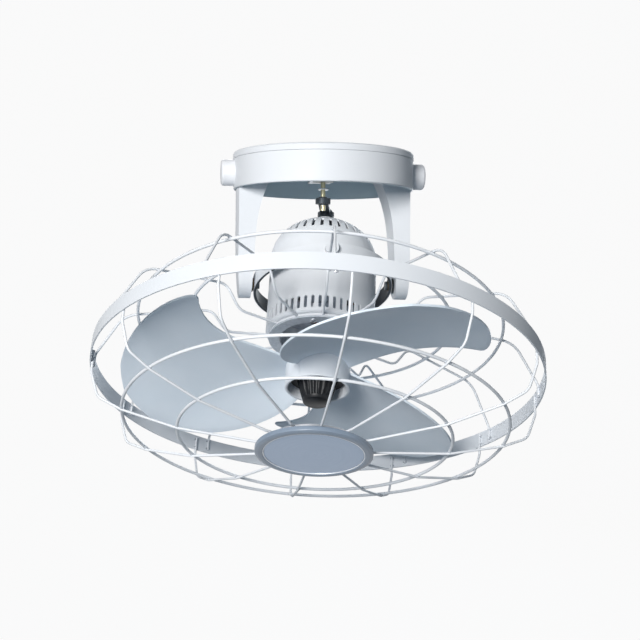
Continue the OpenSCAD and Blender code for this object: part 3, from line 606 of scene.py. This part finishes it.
def skin(rings: Sequence[Sequence[Vector]], closed: bool) -> Mesh:
    """Covers rings of points with faces.

    Args:
        rings: The rings in order, each with as many points, in millimetres. A ring may be one point many times.
        closed: Whether the last ring joins the first.

    Returns:
        A closed mesh in metres whose faces point outwards.
    """
    form = bmesh.new()
    loops = [[form.verts.new(point * MM) for point in ring] for ring in rings]
    pairs = list(zip(loops, loops[1:] + loops[:1])) if closed else list(zip(loops, loops[1:]))
    for low, high in pairs:
        for k in range(len(low)):
            n = (k + 1) % len(low)
            form.faces.new((low[k], low[n], high[n], high[k]))
    bmesh.ops.remove_doubles(form, verts=form.verts, dist=1e-7)
    bmesh.ops.recalc_face_normals(form, faces=form.faces)
    return as_mesh(form)


def as_mesh(form: bmesh.types.BMesh) -> Mesh:
    """Turns a bmesh into a mesh and frees it."""
    mesh = bpy.data.meshes.new("form")
    form.to_mesh(mesh)
    form.free()
    return mesh


def lathe(corners: Sequence[Corner], segments: int = 96) -> Mesh:
    """Turns a closed outline of radii and heights round the Z axis."""
    turns = [2 * math.pi * k / segments for k in range(segments)]
    outline = bent(corners, closed=True)
    return skin([[Vector((r * math.cos(a), r * math.sin(a), z)) for a in turns] for r, z in outline], closed=True)


def box(width: float, length: float, height: float) -> Mesh:
    """A block round the origin, used as a cutter."""
    form = bmesh.new()
    bmesh.ops.create_cube(form, size=MM)
    bmesh.ops.scale(form, vec=(width, length, height), verts=form.verts)
    return as_mesh(form)


def line(points: Iterable[Vector], closed: bool = False) -> Mesh:
    """A chain of edges through points in millimetres."""
    places = [point * MM for point in points]
    count = len(places)
    edges = [(k, (k + 1) % count) for k in range(count if closed else count - 1)]
    mesh = bpy.data.meshes.new("line")
    mesh.from_pydata(places, edges, [])
    return mesh


def joined(meshes: Iterable[Mesh]) -> Mesh:
    """Several meshes that wear one finish as one mesh."""
    form = bmesh.new()
    for mesh in meshes:
        form.from_mesh(mesh)
    return as_mesh(form)


def moved(mesh: Mesh, *steps: Matrix) -> Mesh:
    """Moves a mesh's points by the steps, the last one first."""
    for step in reversed(steps):
        mesh.transform(step)
    return mesh


def shift(x: float = 0.0, y: float = 0.0, z: float = 0.0) -> Matrix:
    """A move in millimetres."""
    return Matrix.Translation((x * MM, y * MM, z * MM))


def turn(axis: str, degrees: float) -> Matrix:
    """A turn about one of the axes."""
    return Matrix.Rotation(math.radians(degrees), 4, axis)


class Helpers:
    """Objects that lend their modifiers or meshes while a shape is made, and go when it is done."""

    def __init__(self) -> None:
        """Starts with none."""
        self.objects: list[bpy.types.Object] = []

    def add(self, mesh: Mesh) -> bpy.types.Object:
        """Puts a mesh in the scene as a helper."""
        helper = bpy.data.objects.new("helper", mesh)
        bpy.context.scene.collection.objects.link(helper)
        self.objects.append(helper)
        return helper

    def result(self, maker: bpy.types.Object) -> Mesh:
        """Takes what a helper's modifiers make as a plain mesh, and removes all the helpers."""
        bpy.context.view_layer.update()
        graph = bpy.context.evaluated_depsgraph_get()
        mesh = bpy.data.meshes.new_from_object(maker.evaluated_get(graph), depsgraph=graph)
        for helper in self.objects:
            bpy.data.objects.remove(helper)
        return mesh


class RingTree:
    """A Geometry Nodes tree that sets copies of one shape in a ring, or of one bent wire along its path."""

    def __init__(self, wires: bool) -> None:
        """Makes the tree.

        Args:
            wires: Whether the shape is a wire's path, which the tree covers with a round wire.
        """
        self.tree = bpy.data.node_groups.new("ring_of_wires" if wires else "ring_of_copies", "GeometryNodeTree")
        graph = Graph(self.tree).sockets({
            "INPUT": {
                "Shape": ("NodeSocketObject",),
                "Count": ("NodeSocketInt", 12),
                "Radius": (NUMBER, 0.0),
                "Height": (NUMBER, 0.0),
                "Turn": (NUMBER, 0.0),
                "Wire": (NUMBER, 0.0013),
                "Finish": ("NodeSocketMaterial",),
            },
            "OUTPUT": {"Geometry": ("NodeSocketGeometry",)},
        })
        source = graph.add("NodeGroupInput").outputs
        index = graph.add("GeometryNodeInputIndex").outputs[0]
        step = graph.math("DIVIDE", 2 * math.pi, source["Count"])
        angle = graph.math("MULTIPLY_ADD", index, step, source["Turn"])
        across = graph.math("MULTIPLY", source["Radius"], graph.math("COSINE", angle))
        along = graph.math("MULTIPLY", source["Radius"], graph.math("SINE", angle))
        place = graph.add("ShaderNodeCombineXYZ", {0: across, 1: along, 2: source["Height"]}).outputs[0]
        facing = graph.add("ShaderNodeCombineXYZ", {2: angle}).outputs[0]
        points = graph.add("GeometryNodePoints", {"Count": source["Count"], "Position": place}).outputs[0]
        shape = graph.add("GeometryNodeObjectInfo", {"Object": source["Shape"]}).outputs["Geometry"]
        if wires:
            path = graph.add("GeometryNodeMeshToCurve", {"Mesh": shape}).outputs[0]
            bore = graph.add("GeometryNodeCurvePrimitiveCircle", {"Resolution": 12, "Radius": source["Wire"]})
            cover = {"Curve": path, "Profile Curve": bore.outputs[0], "Fill Caps": True}
            shape = graph.add("GeometryNodeCurveToMesh", cover).outputs[0]
        ring = {"Points": points, "Instance": shape, "Rotation": facing}
        copies = graph.add("GeometryNodeInstanceOnPoints", ring).outputs[0]
        real = graph.add("GeometryNodeRealizeInstances", {0: copies}).outputs[0]
        worn = graph.add("GeometryNodeSetMaterial", {"Geometry": real, "Material": source["Finish"]}).outputs[0]
        graph.add("NodeGroupOutput", {0: worn})

    def ring(self, shape: Mesh, finish: bpy.types.Material, **sizes: float) -> Mesh:
        """Sets copies of a shape round the Z axis.

        Args:
            shape: The shape or the path, whose X axis points away from the ring's axis.
            finish: The copies' material.
            sizes: The other inputs of the tree by their lower-case names: lengths in millimetres, turn in degrees.

        Returns:
            All the copies as one plain mesh.
        """
        helpers = Helpers()
        holder = helpers.add(bpy.data.meshes.new("holder"))
        modifier = holder.modifiers.new("ring", "NODES")
        modifier.node_group = self.tree
        scales = {"count": 1, "turn": math.radians(1)}
        values: dict[str, object] = {"Shape": helpers.add(shape), "Finish": finish}
        for name, size in sizes.items():
            values[name.capitalize()] = size * scales.get(name, MM)
        for item in self.tree.interface.items_tree:
            if item.name in values:
                modifier[item.identifier] = values[item.name]
        return helpers.result(holder)


class Bench:
    """Where pieces are finished: each gets its place, its material and its body."""

    def __init__(self, book: FinishBook) -> None:
        """Sets up the bench.

        Args:
            book: The finishes.
        """
        self.book = book
        self.copies = RingTree(wires=False)
        self.wires = RingTree(wires=True)

    def piece(self, name: str, mesh: Mesh, finish: str, body: Body, slot: str, *replaces: str,
              sharp: float = 38.0) -> bpy.types.Object:
        """Makes a mesh a piece of the fan.

        Args:
            name: The piece's name.
            mesh: Its mesh, drawn upright if it hangs on a body that leans.
            finish: The name of its finish.
            body: The body it rides on.
            slot: The record's material slot for the piece; not used.
            replaces: The CAD nodes that it stands for.
            sharp: The angle in degrees over which an edge stays sharp.

        Returns:
            The piece.
        """
        if body in (Body.HEAD, Body.ROTOR):
            mesh.transform(LEAN.head())
        mesh.name = name
        mesh.materials.clear()
        mesh.materials.append(self.book.get(finish))
        mesh.polygons.foreach_set("material_index", [0] * len(mesh.polygons))
        mesh.polygons.foreach_set("use_smooth", [True] * len(mesh.polygons))
        mesh.set_sharp_from_angle(angle=math.radians(sharp))
        piece = bpy.data.objects.new(name, mesh)
        bpy.context.scene.collection.objects.link(piece)
        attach(piece, body.value)
        if replaces:
            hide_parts(*replaces)
        LOG.info("%s: %d faces, %s, on %s", name, len(mesh.polygons), finish, body.value)
        return piece


# ---------------------------------------------------------------- the rotor


@dataclass
class Rotor:
    """Three swept blades on a cup-shaped hub, and the fluted knob that holds it on the shaft."""

    bench: Bench
    blades: int = 3
    low_sweep: float = 50.0
    low_hook: float = 16.0
    hook_power: int = 12
    high_edge: tuple[float, float, float] = (112.0, 46.0, 66.0)
    tip_cut: float = 56.0
    tip_from: float = 0.8
    tip_power: float = 1.8
    pitch: tuple[float, float, float] = (-105.1, 0.63, 0.0054)
    twist: Pair = (1.065, 105.3)
    sag: float = 36.0
    blade_turn: float = 102.0
    root: float = 30.75
    tip: float = 200.0
    thick: float = 2.2
    edge: float = 0.85
    rows: int = 44
    columns: int = 22
    hub_radius: float = 33.2
    hub_wall: float = 3.2
    hub_top: float = -94.0
    hub_low: float = -122.6
    hub_floor: float = -110.0
    hub_web: float = 2.5
    boss: float = 10.0
    boss_rise: float = 10.0
    bore: float = 4.2
    knob_low: float = -138.0
    knob_low_radius: float = 13.5
    knob_top_radius: float = 22.0
    knob_rim: float = 4.0
    knob_gap: float = 0.1
    knob_bevel: float = 0.9
    flange: float = 28.2
    flange_thick: float = 2.6
    flutes: int = 18
    flute_radius: float = 2.5
    flute_out: float = 1.2
    flute_steps: int = 12
    flute_levels: tuple[float, ...] = (4.5, 10.0, 18.0)

    def blade_point(self, out: float, across: float) -> Vector:
        """A point of the blade's middle surface.

        Args:
            out: How far out it lies, from the hub at 0 to the tip at 1.
            across: How far across it lies, from the low edge at 0 to the high edge at 1.

        Returns:
            The point in the head's own frame.
        """
        start, back, ahead = self.high_edge
        cut = self.tip_cut * (max(0.0, out - self.tip_from) / (1 - self.tip_from)) ** self.tip_power
        low = self.low_sweep * out + self.low_hook * out**self.hook_power
        high = start - back * out + ahead * out**2 - cut
        degrees = low + across * (high - low)
        level, rise, ease = self.pitch
        steep, fall = self.twist
        height = level + rise * degrees - ease * degrees**2 + (steep * degrees - fall) * out
        height -= self.sag * across * (1 - across) * (1 - out) ** 2
        radius = self.root + (self.tip - self.root) * out
        return Vector((radius * math.cos(math.radians(degrees)), radius * math.sin(math.radians(degrees)), height))

    def blade(self) -> Mesh:
        """One blade: its middle surface with a wall and rounded edges."""
        outs = [math.sin(math.pi / 2 * i / self.rows) for i in range(self.rows + 1)]
        points = [self.blade_point(out, j / self.columns) * MM for out in outs for j in range(self.columns + 1)]
        wide = self.columns + 1
        corners = [i * wide + j for i in range(self.rows) for j in range(self.columns)]
        sheet = bpy.data.meshes.new("blade_sheet")
        sheet.from_pydata(points, [], [(c, c + 1, c + wide + 1, c + wide) for c in corners])
        helpers = Helpers()
        maker = helpers.add(sheet)
        wall = maker.modifiers.new("wall", "SOLIDIFY")
        wall.thickness, wall.offset, wall.use_even_offset = self.thick * MM, 0.0, True
        soft = maker.modifiers.new("soft_edge", "BEVEL")
        soft.width, soft.segments, soft.limit_method, soft.angle_limit = self.edge * MM, 3, "ANGLE", math.radians(50)
        return helpers.result(maker)

    def hub(self) -> Mesh:
        """The hub: a cup that is open above and recessed below, with a boss for the shaft."""
        inside, floor = self.hub_radius - self.hub_wall, self.hub_floor
        return lathe([
            (self.bore, floor), (inside, floor, 1.5), (inside, self.hub_low, 1.0),
            (self.hub_radius, self.hub_low, 1.4), (self.hub_radius, self.hub_top, 1.6),
            (inside, self.hub_top, 0.8), (inside, floor + self.hub_web, 1.5),
            (self.boss, floor + self.hub_web, 1.0), (self.boss, floor + self.boss_rise, 0.8),
            (self.bore, floor + self.boss_rise),
        ])

    def knob(self) -> Mesh:
        """The knob: a fluted cone with a smooth rim below and a flange in the hub's recess above."""
        height = self.hub_floor - self.knob_gap - self.knob_low
        neck = height - self.flange_thick
        slope = (self.knob_top_radius - self.knob_low_radius) / height
        steps = self.flutes * self.flute_steps
        pitch = 2 * math.pi / self.flutes

        def ring(radius: float, level: float, fluted: bool) -> list[Vector]:
            """One ring of points, with the flutes cut in it or not."""
            points = []
            for k in range(steps):
                angle = 2 * math.pi * k / steps
                off = radius * math.sin((angle + pitch / 2) % pitch - pitch / 2)
                cut = self.flute_radius**2 - off**2
                r = min(radius, radius + self.flute_out - math.sqrt(cut)) if fluted and cut > 0 else radius
                points.append(Vector((r * math.cos(angle), r * math.sin(angle), self.knob_low + level)))
            return points

        low = self.knob_low_radius
        rings = [ring(0.0, 0.0, False), ring(low - self.knob_bevel, 0.0, False)]
        rings += [ring(low + slope * up, up, False) for up in (self.knob_bevel, self.knob_rim)]
        rings += [ring(low + slope * up, up, True) for up in (*self.flute_levels, neck)]
        outline = bent([(self.knob_top_radius, neck), (self.flange, neck, 0.7), (self.flange, height)])
        rings += [ring(r, up, False) for r, up in outline[1:]]
        rings.append(ring(0.0, height, False))
        return skin(rings, closed=False)

    def build(self) -> None:
        """Makes the blades, the hub and the knob."""
        bench = self.bench
        finish = bench.book.get("blade_plastic")
        blades = bench.copies.ring(self.blade(), finish, count=self.blades, turn=self.blade_turn)
        bench.piece("rotor_blades", blades, "blade_plastic", Body.ROTOR, "blade_plastic", "fan_rotor")
        bench.piece("rotor_hub", self.hub(), "hub_plastic", Body.ROTOR, "blade_plastic", "fan_rotor")
        bench.piece("spinner_knob", self.knob(), "black_plastic", Body.ROTOR, "black_plastic", "spinner_nut")


# ---------------------------------------------------------------- the guard and the badge


@dataclass(frozen=True)
class Cage:
    """One half of the guard: its spokes, its rings and where their welds sit."""

    name: str
    node: str
    start: float
    spoke: tuple[Corner, ...]
    rings: tuple[Pair, ...]
    welds: tuple[Pair, ...]


UPPER_CAGE = Cage(
    "upper", "upper_guard", -3.5,
    ((51, -63.7), (96.6, -63.7, 14), (114, -39.3, 14), (203, -52.7, 26), (227.2, -100, 14), (227.2, -114)),
    ((51, -63.7), (136, -45), (189, -53)),
    ((51, -63.7), (136, -43.7), (189.4, -51.8), (228.0, -103.5), (228.0, -112.8)),
)
LOWER_CAGE = Cage(
    "lower", "lower_guard", 0.5,
    ((42, -185), (59, -186, 14), (137, -179.4, 14), (193, -165.4, 14), (218, -154, 14), (227.2, -127, 14),
     (227.2, -104)),
    ((42, -185), (137, -177), (193, -163)),
    ((193.2, -164.2), (137.0, -178.2), (228.0, -106.0), (228.0, -115.2)),
)


@dataclass
class Guard:
    """The bent and welded wires of the guard."""

    bench: Bench
    spokes: int = 12
    spoke_wire: float = 1.3
    ring_wire: float = 1.6
    ring_steps: int = 144
    bead: tuple[float, float, float] = (1.9, 2.5, 1.5)

    def bead_shape(self) -> Mesh:
        """One weld: a small flattened bead."""
        form = bmesh.new()
        bmesh.ops.create_icosphere(form, subdivisions=2, radius=MM)
        bmesh.ops.scale(form, vec=self.bead, verts=form.verts)
        return as_mesh(form)

    def ring_path(self, radius: float, height: float) -> Mesh:
        """The closed path of a ring's wire."""
        turns = [2 * math.pi * k / self.ring_steps for k in range(self.ring_steps)]
        return line((Vector((radius * math.cos(a), radius * math.sin(a), height)) for a in turns), closed=True)

    def half(self, cage: Cage) -> None:
        """Makes one half's wires and welds.

        Args:
            cage: The half.
        """
        bench = self.bench
        coat = bench.book.get("wire_coat")
        path = line(Vector((r, 0.0, z)) for r, z in bent(cage.spoke, steps=8))
        wires = [bench.wires.ring(path, coat, count=self.spokes, turn=cage.start, wire=self.spoke_wire)]
        wires += [bench.wires.ring(self.ring_path(r, z), coat, count=1, wire=self.ring_wire) for r, z in cage.rings]
        bench.piece(f"{cage.name}_wires", joined(wires), "wire_coat", Body.HEAD, "guard_wire", cage.node)
        welds = bench.book.get("weld_coat")
        beads = [
            bench.copies.ring(self.bead_shape(), welds, count=self.spokes, radius=r, height=z, turn=cage.start)
            for r, z in cage.welds
        ]
        bench.piece(f"{cage.name}_welds", joined(beads), "weld_coat", Body.HEAD, "guard_wire", sharp=80.0)

    def build(self) -> None:
        """Makes both halves."""
        for cage in (UPPER_CAGE, LOWER_CAGE):
            self.half(cage)


@dataclass
class Badge:
    """The round badge under the guard, whose places for lettering stay bare."""

    bench: Bench
    radius: float = 59.0
    top: float = -189.0
    low: float = -195.0
    step: float = -193.0
    recess: float = 51.0
    ledge: float = 9.0
    trim: float = 1.0
    disc: float = 49.6
    crown: float = 0.8
    turns: int = 144

    def build(self) -> None:
        """Makes the rim, the thin bright ring inside it and the spun disc."""
        inside = self.recess - self.ledge
        rim = lathe([
            (inside, self.top), (self.radius, self.top, 1.0), (self.radius, self.low + 1.2, 1.2),
            (self.radius - 3.5, self.low, 3.0), (self.recess + 0.8, self.low, 0.6), (self.recess, self.low + 0.8, 0.4),
            (self.recess, self.step), (inside, self.step),
        ], self.turns)
        ring = lathe([
            (self.recess - self.trim, self.step + 0.2), (self.recess, self.step + 0.2),
            (self.recess, self.low + 0.5, 0.4), (self.recess - self.trim, self.low + 0.5, 0.4),
        ], self.turns)
        edge = self.low + 1.3
        bow = [(self.disc * math.cos(a), edge - self.crown * math.sin(a)) for a in (0.0, 0.35, 0.7, 1.05, 1.35)]
        seat = self.step + 0.1
        disc = lathe([(0.0, seat), (self.disc, seat), *bow, (0.0, edge - self.crown)], self.turns)
        bench = self.bench
        bench.piece("badge_frame", rim, "rim_plastic", Body.HEAD, "badge_rim_plastic", "badge_rim")
        bench.piece("badge_line", ring, "bright_trim", Body.HEAD, "badge_silver")
        bench.piece("badge_disc", disc, "spun_silver", Body.HEAD, "badge_silver", "badge_plate")


# ---------------------------------------------------------------- screws and the pivot's end


@dataclass(frozen=True)
class PanScrew:
    """A pan-head screw that looks along +Z with its seat at 0."""

    head: float
    rise: float
    shank: float
    length: float
    slot_width: float = 0.24
    facets: int = 24

    def mesh(self) -> Mesh:
        """Makes the screw with its cross recess cut out."""
        body = lathe([
            (0.0, -self.length), (self.shank, -self.length, 0.3), (self.shank, 0.0), (self.head, 0.0, 0.1),
            (self.head, self.rise * 0.5, self.rise * 0.4), (self.head * 0.55, self.rise, self.rise * 0.8),
            (0.0, self.rise),
        ], self.facets)
        helpers = Helpers()
        maker = helpers.add(body)
        for degrees in (0, 90):
            cutter = helpers.add(moved(
                box(self.head * 1.1, self.head * self.slot_width, self.rise), shift(z=self.rise), turn("Z", degrees)
            ))
            cut = maker.modifiers.new("recess", "BOOLEAN")
            cut.operation, cut.object, cut.solver = "DIFFERENCE", cutter, "EXACT"
        return helpers.result(maker)


@dataclass
class Screws:
    """The screws that show, with their recesses, in place of the CAD's plain heads."""

    bench: Bench
    around: int = 3
    cover_turn: float = -86.0
    cover_step: float = 4.0
    cover_height: float = 14.0
    cover_seat: float = 56.6
    cover_screw: PanScrew = PanScrew(2.5, 1.2, 1.5, 3.0)
    guard_turn: float = 15.0
    guard_radius: float = 46.0
    guard_seat: float = -67.4
    guard_screw: PanScrew = PanScrew(3.5, 2.0, 2.0, 9.0)

    def build(self) -> None:
        """Makes the cover screws, seen from the side, and the guard screws, seen from below."""
        bench = self.bench
        zinc = bench.book.get("zinc_steel")
        rings = []
        for side in (-self.cover_step, self.cover_step):
            for height in (-self.cover_height, self.cover_height):
                screw = moved(self.cover_screw.mesh(), turn("Y", 90), turn("Z", 31 * side + height))
                rings.append(bench.copies.ring(
                    screw, zinc, count=self.around, radius=self.cover_seat, height=height, turn=self.cover_turn + side
                ))
        bench.piece("cover_screw_heads", joined(rings), "zinc_steel", Body.HEAD, "zinc_steel", "cover_screws")
        screw = moved(self.guard_screw.mesh(), turn("X", 180), turn("Z", 27))
        ring = bench.copies.ring(
            screw, zinc, count=self.around, radius=self.guard_radius, height=self.guard_seat, turn=self.guard_turn
        )
        bench.piece("guard_screw_heads", ring, "zinc_steel", Body.HEAD, "zinc_steel", "guard_screws")


@dataclass
class PivotTip:
    """The end of the right pivot bolt, which stands out of the leg's outer face."""

    bench: Bench
    drop: float = 136.0
    face: float = 89.2
    out: float = 2.4
    radius: float = 2.2

    def build(self) -> None:
        """Makes the bolt's end with its turned rim."""
        end = lathe([
            (0.0, -2.0), (self.radius, -2.0), (self.radius, self.out, 0.5), (self.radius * 0.45, self.out, 0.2),
            (self.radius * 0.3, self.out - 0.5), (0.0, self.out - 0.5),
        ], 28)
        moved(end, shift(x=self.face, z=-self.drop), turn("Y", 90))
        self.bench.piece("pivot_bolt_tip", end, "dark_steel", Body.CANOPY, "dark_steel")


# ---------------------------------------------------------------- the studio


@dataclass(frozen=True)
class Lamp:
    """A square soft lamp that looks at the motor."""

    name: str
    at: tuple[float, float, float]
    size: float
    watts: float
    colour: Colour

    def build(self) -> None:
        """Hangs the lamp."""
        data = bpy.data.lights.new(self.name, "AREA")
        data.shape, data.size, data.energy, data.color = "SQUARE", self.size, self.watts, self.colour
        lamp = bpy.data.objects.new(self.name, data)
        bpy.context.scene.collection.objects.link(lamp)
        lamp.location = self.at
        toward = Vector((0.0, 0.0, -0.2)) - Vector(self.at)
        lamp.rotation_euler = toward.to_track_quat("-Z", "Y").to_euler()


LAMPS = (
    Lamp("key_lamp", (-1.24, -2.43, 0.43), 0.9, 82.0, (1.0, 0.99, 0.975)),
    Lamp("fill_lamp", (0.2, -2.8, -0.8), 1.6, 3.0, (0.7, 0.86, 1.0)),
    Lamp("back_lamp", (0.7, 2.2, 0.3), 1.8, 30.0, (0.85, 0.93, 1.0)),
)


@dataclass
class Studio:
    """The camera at the photograph's place, a pale floor that sweeps up into a wall, and soft lamps."""

    camera_at: tuple[float, float, float] = (-0.1945, -1.368, -0.1824)
    yaw: float = math.radians(8.0)
    pitch: float = 0.0047
    roll: float = math.radians(0.45)
    focal_px: float = 1303.3
    frame_px: float = 640.0
    floor_z: float = -1.0
    front_y: float = -4.0
    wall_y: float = 2.6
    wall_top: float = 4.0
    sweep: float = 0.9
    sweep_steps: int = 16
    half_width: float = 6.0
    paper: Colour = (0.17, 0.21, 0.25)
    paper_glow: float = 0.95
    sky: Colour = (0.5, 0.76, 1.0)
    sky_strength: float = 0.08

    def camera(self) -> None:
        """Makes the camera and makes it the scene's own."""
        data = bpy.data.cameras.new("photo_camera")
        data.lens = data.sensor_width * self.focal_px / self.frame_px
        data.clip_start, data.clip_end = 0.05, 50.0
        camera = bpy.data.objects.new("photo_camera", data)
        bpy.context.scene.collection.objects.link(camera)
        ahead = Vector((math.sin(self.yaw), math.cos(self.yaw), math.tan(self.pitch)))
        camera.rotation_mode = "QUATERNION"
        camera.location = self.camera_at
        roll = Matrix.Rotation(self.roll, 3, "Z").to_quaternion()
        camera.rotation_quaternion = ahead.to_track_quat("-Z", "Y") @ roll
        bpy.context.scene.camera = camera

    def backdrop(self) -> None:
        """Makes the floor and the wall as one sheet with a round sweep between them."""
        profile = [(self.front_y, self.floor_z)]
        for i in range(self.sweep_steps + 1):
            angle = math.pi / 2 * i / self.sweep_steps
            y = self.wall_y - self.sweep + self.sweep * math.sin(angle)
            profile.append((y, self.floor_z + self.sweep * (1 - math.cos(angle))))
        profile.append((self.wall_y, self.wall_top))
        points = [(side * self.half_width, y, z) for y, z in profile for side in (-1, 1)]
        faces = [(2 * i, 2 * i + 1, 2 * i + 3, 2 * i + 2) for i in range(len(profile) - 1)]
        mesh = bpy.data.meshes.new("studio_floor")
        mesh.from_pydata(points, [], faces)
        mesh.polygons.foreach_set("use_smooth", [True] * len(faces))
        mesh.materials.append(self.sheet())
        floor = bpy.data.objects.new("studio_floor", mesh)
        bpy.context.scene.collection.objects.link(floor)
        floor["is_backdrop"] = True

    def sheet(self) -> bpy.types.Material:
        """Pale paper: it shows white to the camera and keeps part of a shadow."""
        material = bpy.data.materials.new("studio_paper")
        material.use_nodes = True
        graph = Graph(material.node_tree)
        diffuse = graph.add("ShaderNodeBsdfDiffuse", {"Color": rgba(self.paper)}).outputs[0]
        glow = graph.add("ShaderNodeEmission", {"Color": rgba((1.0, 1.0, 1.0)), "Strength": 1.0}).outputs[0]
        share = graph.math("MULTIPLY", self.seen(graph), self.paper_glow)
        both = graph.add("ShaderNodeMixShader", {0: share, 1: diffuse, 2: glow})
        graph.add("ShaderNodeOutputMaterial", {"Surface": both.outputs[0]})
        return material

    @staticmethod
    def seen(graph: Graph) -> Socket:
        """A mask that is 1 for rays that show the surround: from the camera, off gloss and through glass."""
        path = graph.add("ShaderNodeLightPath").outputs
        shiny = graph.math("MAXIMUM", path["Is Glossy Ray"], path["Is Transmission Ray"])
        return graph.math("MAXIMUM", path["Is Camera Ray"], shiny)

    def world(self) -> None:
        """A white surround to look at that gives only a weak, slightly blue light."""
        world = bpy.data.worlds.new("studio_world")
        bpy.context.scene.world = world
        world.use_nodes = True
        graph = Graph(world.node_tree)
        dim, white = (
            graph.add("ShaderNodeBackground", {"Color": rgba(colour), "Strength": strength}).outputs[0]
            for colour, strength in ((self.sky, self.sky_strength), ((1.0, 1.0, 1.0), 1.0))
        )
        both = graph.add("ShaderNodeMixShader", {0: self.seen(graph), 1: dim, 2: white})
        graph.add("ShaderNodeOutputWorld", {"Surface": both.outputs[0]})

    def build(self) -> None:
        """Makes the whole studio."""
        self.camera()
        self.backdrop()
        self.world()
        for lamp in LAMPS:
            lamp.build()
        bpy.context.scene.view_settings.view_transform = "Standard"


def corners(limits: tuple[Vector, Vector]) -> list[list[float]]:
    """A box's two corners as plain lists."""
    return [list(map(float, corner)) for corner in limits]


def main() -> None:
    """Loads the frame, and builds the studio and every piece."""
    logging.basicConfig(level=logging.INFO, format="%(name)s: %(message)s")
    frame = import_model()
    cad_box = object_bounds()
    Studio().build()
    book = FinishBook(ShaderGroups())
    FrameDress(frame["nodes"], book).dress()
    bench = Bench(book)
    for assembly in (Rotor(bench), Guard(bench), Badge(bench), Screws(bench), PivotTip(bench)):
        assembly.build()
    {"cad": corners(cad_box), "visual": corners(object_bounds())}


if __name__ == "__main__":
    main()
